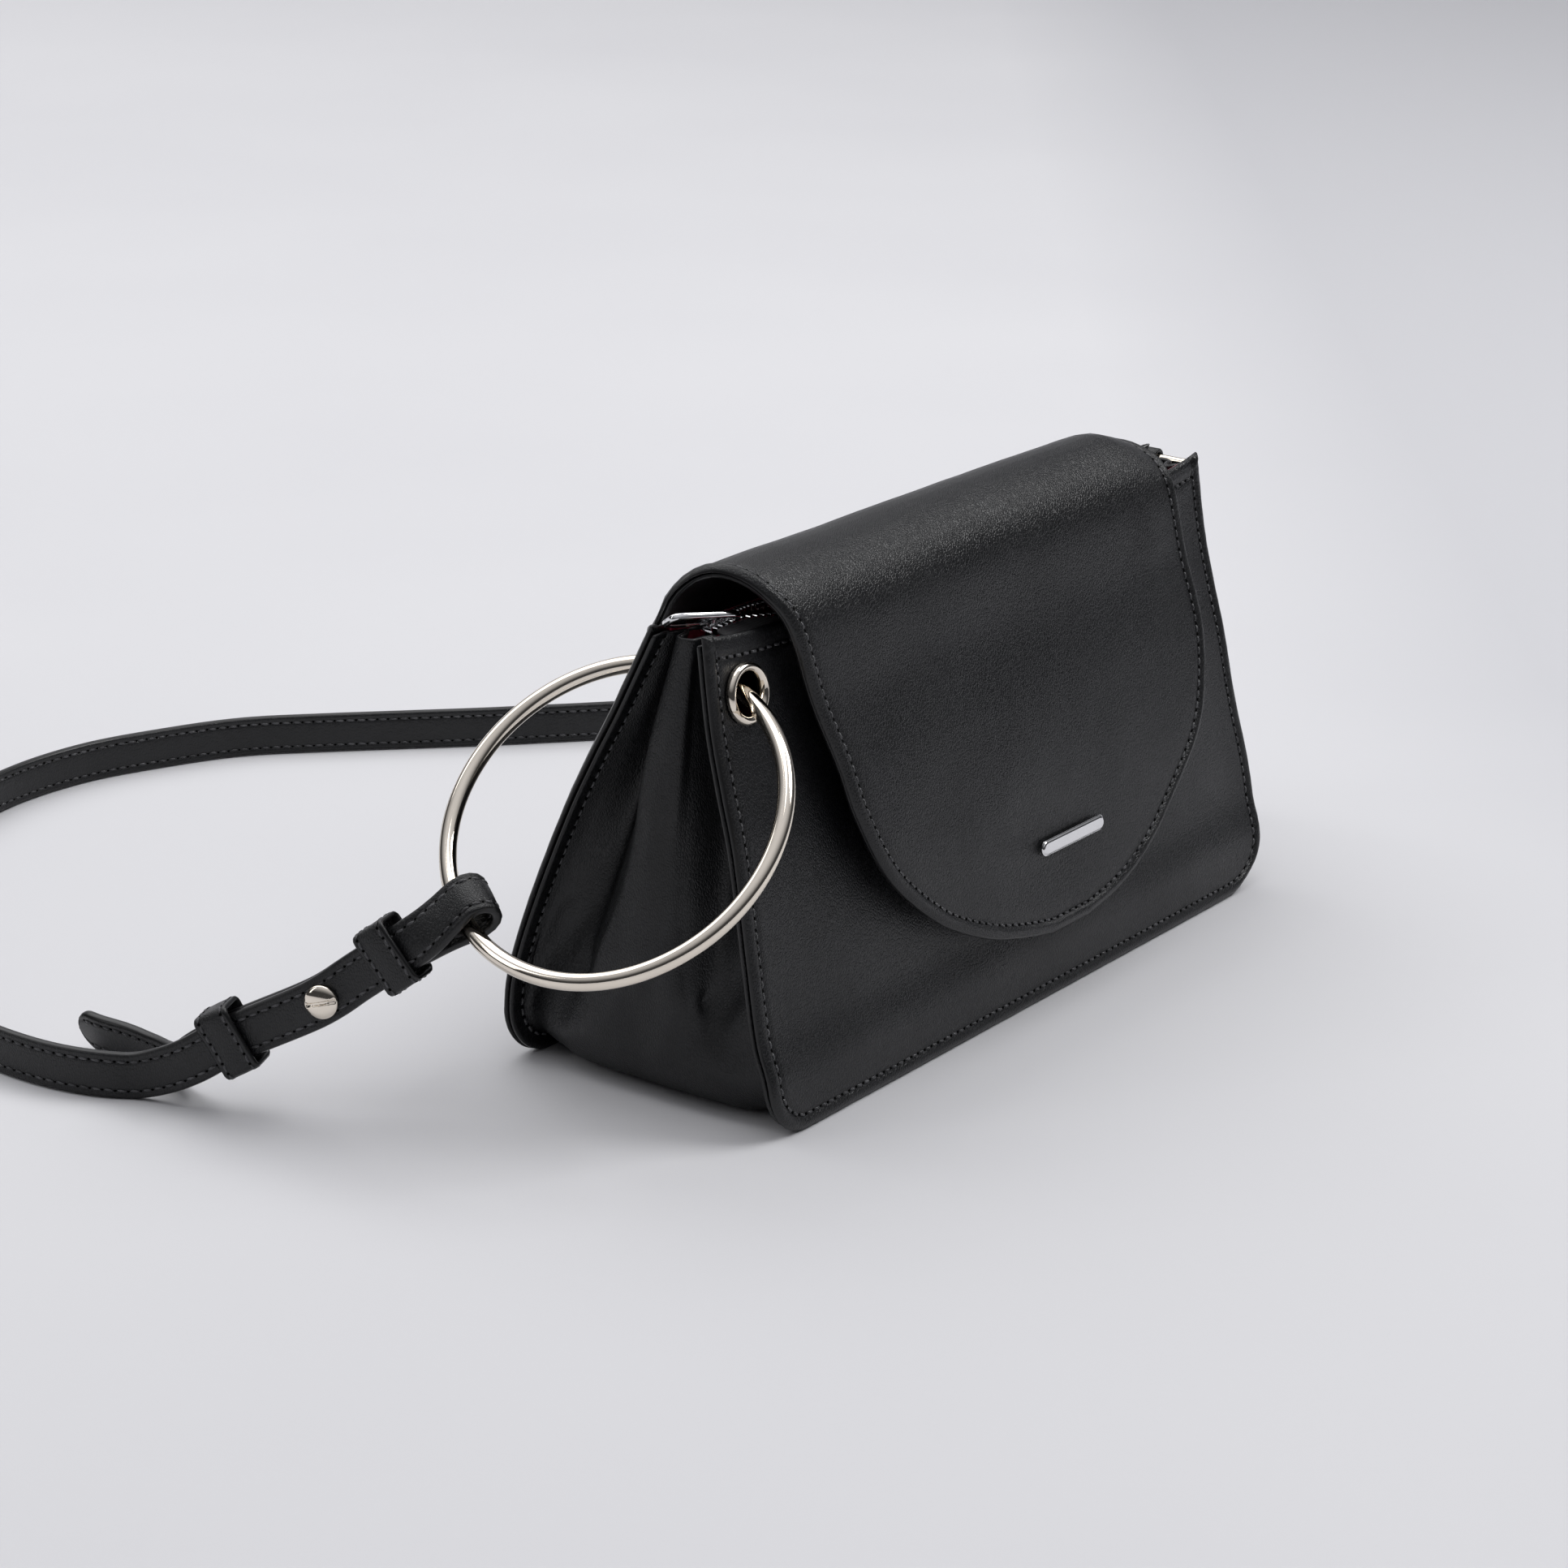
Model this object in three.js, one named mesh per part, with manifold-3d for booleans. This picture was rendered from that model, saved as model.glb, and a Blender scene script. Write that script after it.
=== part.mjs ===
import * as THREE from 'three';
import { mergeVertices } from 'three/addons/utils/BufferGeometryUtils.js';
import Module from 'manifold-3d';

// A small flap bag in black leather with one big ring handle at its left end, a strap that is
// folded round that ring and round a small D-ring at the right end, and an open zip in its mouth.
// Millimetres. X runs along the bag from left to right, the front face looks towards -Y and Z is up.
// The origin is the middle of the base, on the surface that the bag stands on.

// Bag body
const bag_length = 235;
const mouth_length = 228;
const bag_height = 123;
const bag_depth = 86;
const corner_radius = 14;
const ear_rise = 3;
const belly = 2.5;
const panel_wall = 1.4;
const gusset_wall = 1.3;
const lining_wall = 0.8;
const clearance = 0.3;
const lip_width = 5;
const fold_depth = 12;
const gusset_drop = 2.5;
const lining_margin = 7.5;
const lining_foot = 9;

// Flap
const flap_wall = 1.5;
const flap_lining_wall = 1.1;
const flap_width = 212;
const flap_foot = 21;
const flap_rise = 11.8;
const flap_sag = 5;
const flap_proud = 8;
const flap_back_reach = 30;
const flap_inset = 0.6;
const flap_eyelet_gap = 5.5;

// Ring handle and its eyelets
const ring_radius = 43.2;
const ring_wire = 4.4;
const ring_tilt = 43.9;
const eyelet_front_place = { inset: 13.5, drop: 16.5 };
const eyelet_back_place = { inset: 13.2, drop: 13.5 };
const eyelet_flange = 7.7;
const eyelet_hole = 5.1;
const eyelet_tube_wall = 0.7;
const eyelet_dome = 1.6;
const eyelet_washer = 6.2;
const eyelet_washer_wall = 0.7;
const eyelet_seat = 0.45;

// Zip in the mouth
const zip_drop = 1.5;
const zip_gap = 8;
const zip_closed_gap = 2.2;
const zip_spread = 16;
const zip_tape_wall = 0.8;
const zip_tooth = 1.6;
const zip_pitch = 5.2;
const zip_end_margin = 13;
const slider_length = 9;
const slider_height = 3.4;
const puller_length = 19;
const puller_width = 4.4;
const puller_wall = 1.3;

// Strap, its keepers and its studs
const strap_width = 12;
const strap_wall = 2.6;
const ring_hold = 33;
const d_ring_hold = 0;
const fold_slack = 1.1;
const ring_fold_reach = 3;
const d_ring_fold_reach = 0.4;
const left_tail_held = 84;
const right_tail_held = 68;
const fold_settle = 17;
const left_places = { keepers: [24, 74], stud: 46 };
const right_places = { keepers: [20, 54], stud: 37 };
const strap_end_reach = 96;
const strap_end_step = 4;
const strap_floor_step = 14;
const keeper_length = 9.6;
const keeper_wall = 1.3;
const keeper_slack = 3;
const stud_radius = 4.3;
const stud_dome = 2;
const stud_shank = 1.5;
const stud_slot = 0.9;

// D-ring and its tab on the right gusset
const d_ring_width = 15.4;
const d_ring_depth = 11;
const d_ring_wire = 2.4;
const d_ring_fall = 62;
const d_ring_shift = 3;
const d_ring_drop = 5;
const tab_width = 7;
const tab_wall = 1.2;
const tab_height = 16;

// Plain bar on the flap
const bar_length = 30;
const bar_height = 4;
const bar_wall = 1.2;
const bar_place = { x: 10.5, z: 44.5 };

// How far each face leans at the seam: share of the height, share of half the depth
const front_lean = [
  [0, 1.0], [0.12, 0.96], [0.2, 0.875], [0.35, 0.79], [0.58, 0.665], [0.7, 0.57], [0.82, 0.484], [1, 0.405],
];
const back_lean = [
  [0, 0.97], [0.12, 0.995], [0.2, 0.97], [0.35, 0.837], [0.58, 0.572], [0.7, 0.407], [0.82, 0.228], [1, -0.019],
];

// The gusset's folds from the seam to its middle ridge. up: share of the height,
// across: shares of the half span, deep: shares of the fold depth, after the seam's lip
const gusset_folds = [
  { up: 0.00, across: [0.94, 0.78, 0.5, 0.25, 0], deep: [0.376, 0.196, 0, 0, 0] },
  { up: 0.06, across: [0.94, 0.76, 0.5, 0.27, 0], deep: [0.406, 0.246, 0.046, 0.006, 0] },
  { up: 0.18, across: [0.93, 0.66, 0.45, 0.27, 0], deep: [0.466, 0.366, 0.126, 0.016, 0] },
  { up: 0.32, across: [0.90, 0.60, 0.38, 0.18, 0], deep: [0.546, 0.666, 0.286, 0.026, 0] },
  { up: 0.54, across: [0.88, 0.58, 0.32, 0.14, 0], deep: [0.586, 0.946, 0.366, 0.076, 0.036] },
  { up: 0.70, across: [0.86, 0.60, 0.34, 0.20, 0], deep: [0.586, 0.946, 0.426, 0.126, 0.086] },
  { up: 0.85, across: [0.80, 0.60, 0.36, 0.25, 0], deep: [0.526, 0.746, 0.446, 0.206, 0.166] },
  { up: 1.00, across: [0.78, 0.60, 0.38, 0.27, 0], deep: [0.526, 0.746, 0.526, 0.306, 0.266] },
];

// The flap's edges: -1 at the back seam, 0 at the back of the mouth and 1 at the tip, then the left
// and the right edge's distance from the middle, as shares of the room between the back eyelet and
// its mirror image on the back, and of half the flap's width from there on
const flap_edges = [
  [-1, 1, 1], [-0.4214, 1.006, 1.006], [-0.19, 1.012, 1.006], [-0.0454, 1.084, 1.024], [0.0207, 0.99, 0.86],
  [0.0715, 0.975, 0.855], [0.115, 0.935, 0.85], [0.1924, 0.895, 0.84], [0.2359, 0.875, 0.835],
  [0.2807, 0.85, 0.825], [0.4149, 0.808, 0.84], [0.5406, 0.765, 0.848], [0.6446, 0.735, 0.825],
  [0.7679, 0.65, 0.745], [0.8803, 0.48, 0.57], [0.9275, 0.365, 0.475], [0.9637, 0.24, 0.37],
  [0.9855, 0.12, 0.27], [1, 0.01, 0.15],
];

// The strap's way: x from the middle and y from the back of the base as shares of the bag's length,
// and z as a share of its height.
// It falls from the ring, stands on its edge on the floor behind the bag and climbs to the D-ring.
const strap_fall = [
  [-0.703, -0.066, 0.4241], [-0.7135, -0.0345, 0.3756], [-0.7255, 0.0055, 0.3139], [-0.7404, 0.0396, 0.2593],
  [-0.7787, 0.1323, 0.1553], [-0.8, 0.183, 0.0898],
];
const strap_on_floor = [
  [-0.815, 0.234], [-0.834, 0.266], [-0.85, 0.32], [-0.854, 0.4], [-0.835, 0.55], [-0.77, 0.69],
  [-0.66, 0.82], [-0.5, 0.935], [-0.278, 1.007], [-0.136, 1.006], [-0.026, 0.97], [0.072, 0.921],
  [0.153, 0.85], [0.23, 0.775], [0.306, 0.701], [0.387, 0.628], [0.5, 0.52], [0.6, 0.37], [0.66, 0.19],
];
const strap_climb = [
  [0.674, 0.02, 0.065], [0.664, -0.064, 0.1548], [0.64, -0.136, 0.3095], [0.619, -0.174, 0.4719],
  [0.602, -0.185, 0.5846], [0.587, -0.187, 0.6496], [0.566, -0.187, 0.7203], [0.536, -0.189, 0.7967],
];
const strap_loose_tip = [
  [-0.776, 0.205, 0.065], [-0.762, 0.25, 0.0487], [-0.7575, 0.295, 0.0487], [-0.759, 0.34, 0.0487],
  [-0.754, 0.375, 0.0487],
];

const half_depth = bag_depth / 2;
const radians = THREE.MathUtils.degToRad;
const vec = (x, y, z) => new THREE.Vector3(x, y, z);
const mix = THREE.MathUtils.lerp;

// A smooth curve through a table of pairs
function follow(table, at) {
  const last = table.length - 1;
  let k = 0;
  while (k < last - 1 && at > table[k + 1][0]) k += 1;
  const [x0, y0] = table[k];
  const [x1, y1] = table[k + 1];
  const t = THREE.MathUtils.clamp((at - x0) / (x1 - x0), 0, 1);
  const slope = (i) => {
    const low = table[Math.max(i - 1, 0)];
    const high = table[Math.min(i + 1, last)];
    return (high[1] - low[1]) / (high[0] - low[0]);
  };
  const span = x1 - x0;
  const t2 = t * t;
  const t3 = t2 * t;
  return (2 * t3 - 3 * t2 + 1) * y0 + (t3 - 2 * t2 + t) * span * slope(k)
    + (3 * t2 - 2 * t3) * y1 + (t3 - t2) * span * slope(k + 1);
}

// The seam's outline, the same for both panels: half the length at a height
function half_length(z) {
  const straight = mix(bag_length, mouth_length, z / bag_height) / 2;
  const below = Math.max(corner_radius - z, 0);
  return straight - corner_radius + Math.sqrt(corner_radius ** 2 - below ** 2);
}

// The mouth's edge rises into an ear at each end
function mouth_height(x) {
  const reach = Math.min(Math.abs(x) / (mouth_length / 2), 1);
  return bag_height - ear_rise * (1 - reach ** 8);
}

// side is -1 for the front face and 1 for the back face, depth counts inwards from the outer face
function face_y(side, x, z, depth = 0) {
  const lean = side < 0 ? front_lean : back_lean;
  const up = THREE.MathUtils.clamp(z / bag_height, 0, 1);
  const step = 0.02;
  const low = Math.max(up - step, 0);
  const high = Math.min(up + step, 1);
  const slope = (follow(lean, high) - follow(lean, low)) * half_depth / ((high - low) * bag_height);
  const bulge = belly * Math.sin(Math.PI * up) * Math.max(1 - (2 * x / bag_length) ** 2, 0);
  return side * (half_depth * follow(lean, up) + bulge - depth * Math.hypot(1, slope));
}

// The outward normal of a face
function face_normal(side, x, z) {
  const step = 6;
  const rise = face_y(side, x, z + step) - face_y(side, x, z - step);
  const turn = face_y(side, x + step, z) - face_y(side, x - step, z);
  return vec(-side * turn, side * 2 * step, -side * rise).normalize();
}

// A closed body from a list of triangles
function body(points, triangles) {
  const geometry = new THREE.BufferGeometry();
  geometry.setAttribute('position', new THREE.Float32BufferAttribute(points.flatMap((p) => [p.x, p.y, p.z]), 3));
  let volume = 0;
  for (const [a, b, c] of triangles) {
    volume += points[a].dot(vec(0, 0, 0).crossVectors(points[b], points[c]));
  }
  const ordered = volume < 0 ? triangles.map(([a, b, c]) => [a, c, b]) : triangles;
  geometry.setIndex(ordered.flat());
  return geometry;
}

// A sheet with a thickness: top and under are grids of points with the same rows and columns
function sheet(top, under) {
  const rows = top.length;
  const columns = top[0].length;
  const points = [...top.flat(), ...under.flat()];
  const at = (layer, i, j) => layer * rows * columns + i * columns + j;
  const triangles = [];
  const quad = (a, b, c, d) => triangles.push([a, b, c], [a, c, d]);
  for (let i = 0; i < rows - 1; i += 1) {
    for (let j = 0; j < columns - 1; j += 1) {
      quad(at(0, i, j), at(0, i, j + 1), at(0, i + 1, j + 1), at(0, i + 1, j));
      quad(at(1, i, j), at(1, i + 1, j), at(1, i + 1, j + 1), at(1, i, j + 1));
    }
  }
  for (let i = 0; i < rows - 1; i += 1) {
    quad(at(0, i, 0), at(0, i + 1, 0), at(1, i + 1, 0), at(1, i, 0));
    quad(at(0, i + 1, columns - 1), at(0, i, columns - 1), at(1, i, columns - 1), at(1, i + 1, columns - 1));
  }
  for (let j = 0; j < columns - 1; j += 1) {
    quad(at(0, 0, j + 1), at(0, 0, j), at(1, 0, j), at(1, 0, j + 1));
    quad(at(0, rows - 1, j), at(0, rows - 1, j + 1), at(1, rows - 1, j + 1), at(1, rows - 1, j));
  }
  return body(points, triangles);
}

// The same from one grid of points, between two distances from it
function thick_sheet(grid, from, to) {
  const rows = grid.length;
  const columns = grid[0].length;
  const normal = (i, j) => {
    const along = grid[Math.min(i + 1, rows - 1)][j].clone().sub(grid[Math.max(i - 1, 0)][j]);
    const across = grid[i][Math.min(j + 1, columns - 1)].clone().sub(grid[i][Math.max(j - 1, 0)]);
    return along.cross(across).normalize();
  };
  const shifted = (amount) => grid.map((row, i) => row.map((p, j) => p.clone().addScaledVector(normal(i, j), amount)));
  return sheet(shifted(to), shifted(from));
}

// A swept body: rings of points, joined end to end or closed with caps
function sweep(rings, closed) {
  const sides = rings[0].length;
  const points = rings.flat();
  const triangles = [];
  const count = closed ? rings.length : rings.length - 1;
  for (let i = 0; i < count; i += 1) {
    const next = (i + 1) % rings.length;
    for (let j = 0; j < sides; j += 1) {
      const k = (j + 1) % sides;
      triangles.push([i * sides + j, i * sides + k, next * sides + k], [i * sides + j, next * sides + k, next * sides + j]);
    }
  }
  if (!closed) {
    for (let j = 1; j < sides - 1; j += 1) {
      const end = (rings.length - 1) * sides;
      triangles.push([0, j + 1, j], [end, end + j, end + j + 1]);
    }
  }
  return body(points, triangles);
}

const wasm = await Module();
wasm.setup();

function solid_of(geometry) {
  const bare = geometry.clone();
  bare.deleteAttribute('normal');
  bare.deleteAttribute('uv');
  const merged = mergeVertices(bare, 1e-4);
  return new wasm.Manifold(new wasm.Mesh({
    numProp: 3,
    vertProperties: merged.attributes.position.array,
    triVerts: new Uint32Array(merged.index.array),
  }));
}

function geometry_of(solid) {
  const mesh = solid.getMesh();
  const geometry = new THREE.BufferGeometry();
  geometry.setAttribute('position', new THREE.BufferAttribute(mesh.vertProperties, 3));
  geometry.setIndex(new THREE.BufferAttribute(mesh.triVerts, 1));
  return geometry;
}

function cut(geometry, ...tools) {
  return geometry_of(tools.reduce((left, tool) => left.subtract(solid_of(tool)), solid_of(geometry)));
}

function join(...pieces) {
  return geometry_of(pieces.map(solid_of).reduce((all, piece) => all.add(piece)));
}

// Moves a geometry so that its own axes lie along three directions at a place
function placed(geometry, x_axis, y_axis, z_axis, place) {
  const matrix = new THREE.Matrix4().makeBasis(x_axis, y_axis, z_axis).setPosition(place);
  return geometry.clone().applyMatrix4(matrix);
}

// A lathe profile about local Y, turned so that the profile's axis points along a direction
function turned(profile, sides, axis, place) {
  const geometry = new THREE.LatheGeometry(profile.map(([r, h]) => new THREE.Vector2(r, h)), sides);
  const turn = new THREE.Quaternion().setFromUnitVectors(vec(0, 1, 0), axis);
  return geometry.applyQuaternion(turn).translate(place.x, place.y, place.z);
}

function cylinder(radius, length, axis, place, sides = 16) {
  const geometry = new THREE.CylinderGeometry(radius, radius, length, sides);
  const turn = new THREE.Quaternion().setFromUnitVectors(vec(0, 1, 0), axis);
  return geometry.applyQuaternion(turn).translate(place.x, place.y, place.z);
}

// A rectangle with round corners
function rounded_rectangle(width, height, radius, target) {
  const w = width / 2;
  const h = height / 2;
  target.moveTo(-w + radius, -h);
  target.lineTo(w - radius, -h);
  target.absarc(w - radius, -h + radius, radius, -Math.PI / 2, 0);
  target.lineTo(w, h - radius);
  target.absarc(w - radius, h - radius, radius, 0, Math.PI / 2);
  target.lineTo(-w + radius, h);
  target.absarc(-w + radius, h - radius, radius, Math.PI / 2, Math.PI);
  target.lineTo(-w, -h + radius);
  target.absarc(-w + radius, -h + radius, radius, Math.PI, Math.PI * 1.5);
  return target;
}

const group = new THREE.Group();

function add(name, geometry, color, roughness, metalness) {
  const material = new THREE.MeshStandardMaterial({ color, roughness, metalness });
  const mesh = new THREE.Mesh(geometry, material);
  mesh.name = name;
  group.add(mesh);
}

const leather = (name, geometry) => add(name, geometry, 0x15161a, 0.45, 0);
const crimson = (name, geometry) => add(name, geometry, 0xb01838, 0.8, 0);
const gold = (name, geometry) => add(name, geometry, 0xd8cdb4, 0.12, 1);
const chrome = (name, geometry) => add(name, geometry, 0xd5d6d8, 0.12, 1);

// Places of the eyelets, on the panels' outer faces
const eyelets = [-1, 1].map((side) => {
  const { inset, drop } = side < 0 ? eyelet_front_place : eyelet_back_place;
  const z = bag_height - drop;
  const x = inset - half_length(z);
  const name = side < 0 ? 'eyelet_front' : 'eyelet_back';
  return { name, side, place: vec(x, face_y(side, x, z), z), axis: face_normal(side, x, z) };
});

const eyelet_flange_edge = -eyelets[1].place.x - eyelet_flange;

// Panels, with their rounded lower corners and the eyelets' holes
const panel_columns = [-1, -0.95, -0.85, -0.65, -0.4, 0, 0.4, 0.65, 0.85, 0.95, 1];
const corner_heights = [0, 22.5, 45, 67.5, 90].map((a) => corner_radius * (1 - Math.cos(radians(a))));

function panel_rows(from, to, count) {
  return Array.from({ length: count }, (_, i) => mix(from, to, i / (count - 1)));
}

// rows are heights, margin counts in from the seam's outline and drop down from the mouth's edge
function panel_sheet(side, rows, margin, drop, depth, wall) {
  const point = (z, share, layer) => {
    const x = share * (half_length(z) - margin);
    const top = mouth_height(x) - drop;
    const height = z > 0.8 * bag_height ? mix(z, z * top / bag_height, (z / bag_height - 0.8) / 0.2) : z;
    return vec(x, face_y(side, x, height, depth + layer * wall), height);
  };
  const grid = (layer) => rows.map((z) => panel_columns.map((share) => point(z, share, layer)));
  return sheet(grid(0), grid(1));
}

function eyelet_cutter(side) {
  const { place, axis } = eyelets.find((eyelet) => eyelet.side === side);
  return cylinder(eyelet_hole + eyelet_tube_wall + clearance, 14 * panel_wall, axis, place);
}

const panel_heights = [...corner_heights, ...panel_rows(0.22 * bag_height, bag_height, 7)];
const lining_heights = [lining_foot, ...panel_heights.filter((z) => z > corner_radius)];
const lining_depth = panel_wall + clearance;
for (const [side, word] of [[-1, 'front'], [1, 'back']]) {
  const panel = panel_sheet(side, panel_heights, 0, 0, 0, panel_wall);
  leather(`${word}_panel`, cut(panel, eyelet_cutter(side)));
  const lining_drop = side < 0 ? 1.5 : 0.8;
  const lining = panel_sheet(side, lining_heights, lining_margin, lining_drop, lining_depth, lining_wall);
  crimson(`lining_${word}`, cut(lining, eyelet_cutter(side)));
}

// Gusset: one strip down the left end, under the base and up the right end
function fold_value(key, k, up) {
  return follow(gusset_folds.map((row) => [row.up, row[key][k]]), up);
}

function fold_deep(k, up) {
  return gusset_wall / 2 + fold_depth * fold_value('deep', k, up);
}

function fold_row(up) {
  const inner = [0, 1, 2, 3, 4].map((k) => [fold_value('across', k, up), fold_deep(k, up)]);
  const half = [[1, clearance / 2], [1, lip_width], ...inner];
  return [...half.map(([v, d]) => [-v, d]), ...half.slice(0, -1).reverse()];
}

function gusset_station(x, z, inward_x, inward_z, up) {
  const lip_depth = panel_wall + clearance + gusset_wall / 2;
  return fold_row(up).map(([across, deep]) => {
    const px = x + deep * inward_x;
    const pz = z + deep * inward_z;
    const front = face_y(-1, px, pz, lip_depth);
    const back = face_y(1, px, pz, lip_depth);
    return vec(px, mix(front, back, (across + 1) / 2), pz);
  });
}

const gusset_top = bag_height - gusset_drop;
const side_heights = panel_rows(gusset_top, corner_radius, 9);
const left_rows = side_heights.map((z) => gusset_station(-half_length(z), z, 1, 0, z / bag_height));
const corner_rows = [22.5, 45, 67.5].map((degrees) => {
  const angle = radians(degrees);
  const centre_x = -(half_length(corner_radius) - corner_radius);
  const x = centre_x - corner_radius * Math.cos(angle);
  const z = corner_radius * (1 - Math.sin(angle));
  return gusset_station(x, z, Math.cos(angle), Math.sin(angle), 0.11 * (1 - degrees / 90));
});
const base_rows = [-0.4, -0.22, 0].map((share) => gusset_station(share * bag_length, 0, 0, 1, 0));
const half_strip = [...left_rows, ...corner_rows, ...base_rows];
const mirrored = half_strip.slice(0, -1).reverse().map((row) => row.map((p) => vec(-p.x, p.y, p.z)));
leather('gusset', thick_sheet([...half_strip, ...mirrored], -gusset_wall / 2, gusset_wall / 2));

// Flap: from the back panel's outer face over the mouth and down the front
const flap_stack = flap_lining_wall + clearance + flap_wall;

function flap_curve() {
  const on_back = (z) => vec(0, face_y(1, 0, z, -clearance), z);
  const on_front = (z) => vec(0, face_y(-1, 0, z, flap_stack - flap_proud), z);
  const back_top = on_back(bag_height - 3);
  const front_top = on_front(bag_height - 3);
  const arch = [[0.03, 0.5], [0.17, 0.88], [0.38, 1.02], [0.65, 0.87], [0.87, 0.48]].map(([share, rise]) => {
    const y = mix(back_top.y, front_top.y, share);
    return vec(0, y, mouth_height(0) + flap_rise * rise);
  });
  const backs = [1, 0.66, 0.33].map((share) => on_back(bag_height - 3 - flap_back_reach * share));
  const fronts = [0.2, 0.4, 0.6, 0.8, 1].map((share) => on_front(mix(front_top.z, flap_foot, share)));
  return new THREE.CatmullRomCurve3([...backs, back_top, ...arch, front_top, ...fronts], false, 'centripetal');
}

const flap_shares = [
  -1, -0.421, -0.19, -0.045, 0.021, 0.051, 0.087, 0.124, 0.16, 0.196, 0.238, 0.281, 0.347, 0.42, 0.492, 0.565,
  0.637, 0.71, 0.77, 0.831, 0.879, 0.927, 0.964, 0.985, 1,
];
const flap_columns = [-1, -0.9, -0.65, -0.35, 0, 0.35, 0.65, 0.9, 1];

// On the back the flap keeps clear of the eyelet
const flap_back_half = eyelet_flange_edge - flap_eyelet_gap;

function flap_half(share, k) {
  const edge = flap_edges.map((row) => [row[0], row[k] * (row[0] < 0 ? flap_back_half : flap_width / 2)]);
  return follow(edge, share);
}

function flap_sheet(from, to, inset) {
  const curve = flap_curve();
  const length = curve.getLength();
  const grid = flap_shares.map((share) => {
    const on_back = flap_back_reach * (1 + Math.min(share, 0));
    const onward = (length - flap_back_reach) * Math.max(share, 0);
    const p = curve.getPointAt((on_back + onward) / length * (1 - inset / length));
    const [left, right] = [1, 2].map((k) => flap_half(share, k));
    return flap_columns.map((column) => {
      const x = mix(inset - left, right - inset, (column + 1) / 2);
      const sag = flap_sag * THREE.MathUtils.smoothstep(x, 0.32 * flap_width, 0.46 * flap_width);
      const above = Math.max((p.z - mouth_height(0) - 1) / flap_rise, 0);
      return vec(x, p.y, p.z - sag * above);
    });
  });
  return thick_sheet(grid, from, to);
}

leather('flap_lining', flap_sheet(0, flap_lining_wall, flap_inset));
leather('flap', flap_sheet(flap_lining_wall + clearance, flap_stack, 0));

// Plain bar where the flap carries its fitting
function flap_outer_y(z) {
  return face_y(-1, 0, z, -flap_proud);
}

function flap_bar() {
  const outline = rounded_rectangle(bar_length, bar_height, bar_height / 2 - 0.05, new THREE.Shape());
  const geometry = new THREE.ExtrudeGeometry(outline, { depth: bar_wall, bevelEnabled: false, curveSegments: 4 });
  const step = 4;
  const rise = flap_outer_y(bar_place.z + step) - flap_outer_y(bar_place.z - step);
  const up = vec(0, rise, 2 * step).normalize();
  const out = vec(1, 0, 0).cross(up).normalize();
  const place = vec(bar_place.x, flap_outer_y(bar_place.z), bar_place.z).addScaledVector(out, clearance);
  return placed(geometry, vec(1, 0, 0), up, out, place);
}

chrome('flap_bar', flap_bar());

// Eyelets: a domed flange outside, a tube through the wall and a washer inside
for (const { name, axis, place } of eyelets) {
  const stack = panel_wall + clearance + lining_wall;
  const tube = eyelet_hole + eyelet_tube_wall;
  const inside = -stack - eyelet_seat;
  const profile = [
    [eyelet_hole, inside - eyelet_washer_wall], [eyelet_washer, inside - eyelet_washer_wall],
    [eyelet_washer, inside], [tube, inside], [tube, eyelet_seat], [eyelet_flange, eyelet_seat],
    [eyelet_flange, eyelet_seat + 0.35], [eyelet_flange - 0.9, eyelet_seat + 0.8 * eyelet_dome],
    [eyelet_flange - 1.9, eyelet_seat + eyelet_dome], [eyelet_hole + 0.4, eyelet_seat + 0.75 * eyelet_dome],
    [eyelet_hole, eyelet_seat + 0.3 * eyelet_dome], [eyelet_hole, inside - eyelet_washer_wall],
  ];
  gold(name, turned(profile, 14, axis, place));
}

// Ring: it passes through both eyelets and leans out and down from them
const threaded = eyelets.map(({ place, axis }) => place.clone().addScaledVector(axis, -panel_wall / 2));
const chord = threaded[1].clone().sub(threaded[0]);
const chord_axis = chord.clone().normalize();
const ring_out = vec(-1, 0, 0).addScaledVector(chord_axis, chord_axis.x).normalize();
const ring_down = ring_out.clone().cross(chord_axis).normalize();
ring_down.multiplyScalar(-Math.sign(ring_down.z));
const ring_axis_out = ring_out.clone().multiplyScalar(Math.cos(radians(ring_tilt)))
  .addScaledVector(ring_down, Math.sin(radians(ring_tilt)));
const ring_centre = threaded[0].clone().addScaledVector(chord, 0.5)
  .addScaledVector(ring_axis_out, Math.sqrt(ring_radius ** 2 - chord.lengthSq() / 4));
const ring_normal = ring_axis_out.clone().cross(chord_axis).normalize();
const torus = new THREE.TorusGeometry(ring_radius, ring_wire / 2, 8, 56);
gold('ring', placed(torus, ring_axis_out, ring_normal.clone().cross(ring_axis_out), ring_normal, ring_centre));

// A place on the ring's wire, degrees from its outermost place towards the back
function on_ring(degrees) {
  const angle = radians(degrees);
  return ring_centre.clone().addScaledVector(ring_axis_out, ring_radius * Math.cos(angle))
    .addScaledVector(chord_axis, ring_radius * Math.sin(angle));
}

// Zip: a tape with its row of teeth on each side of the mouth, the slider and its puller
const zip_z = mouth_height(0) - zip_drop;
const zip_half = mouth_length / 2 - zip_end_margin;

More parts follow.
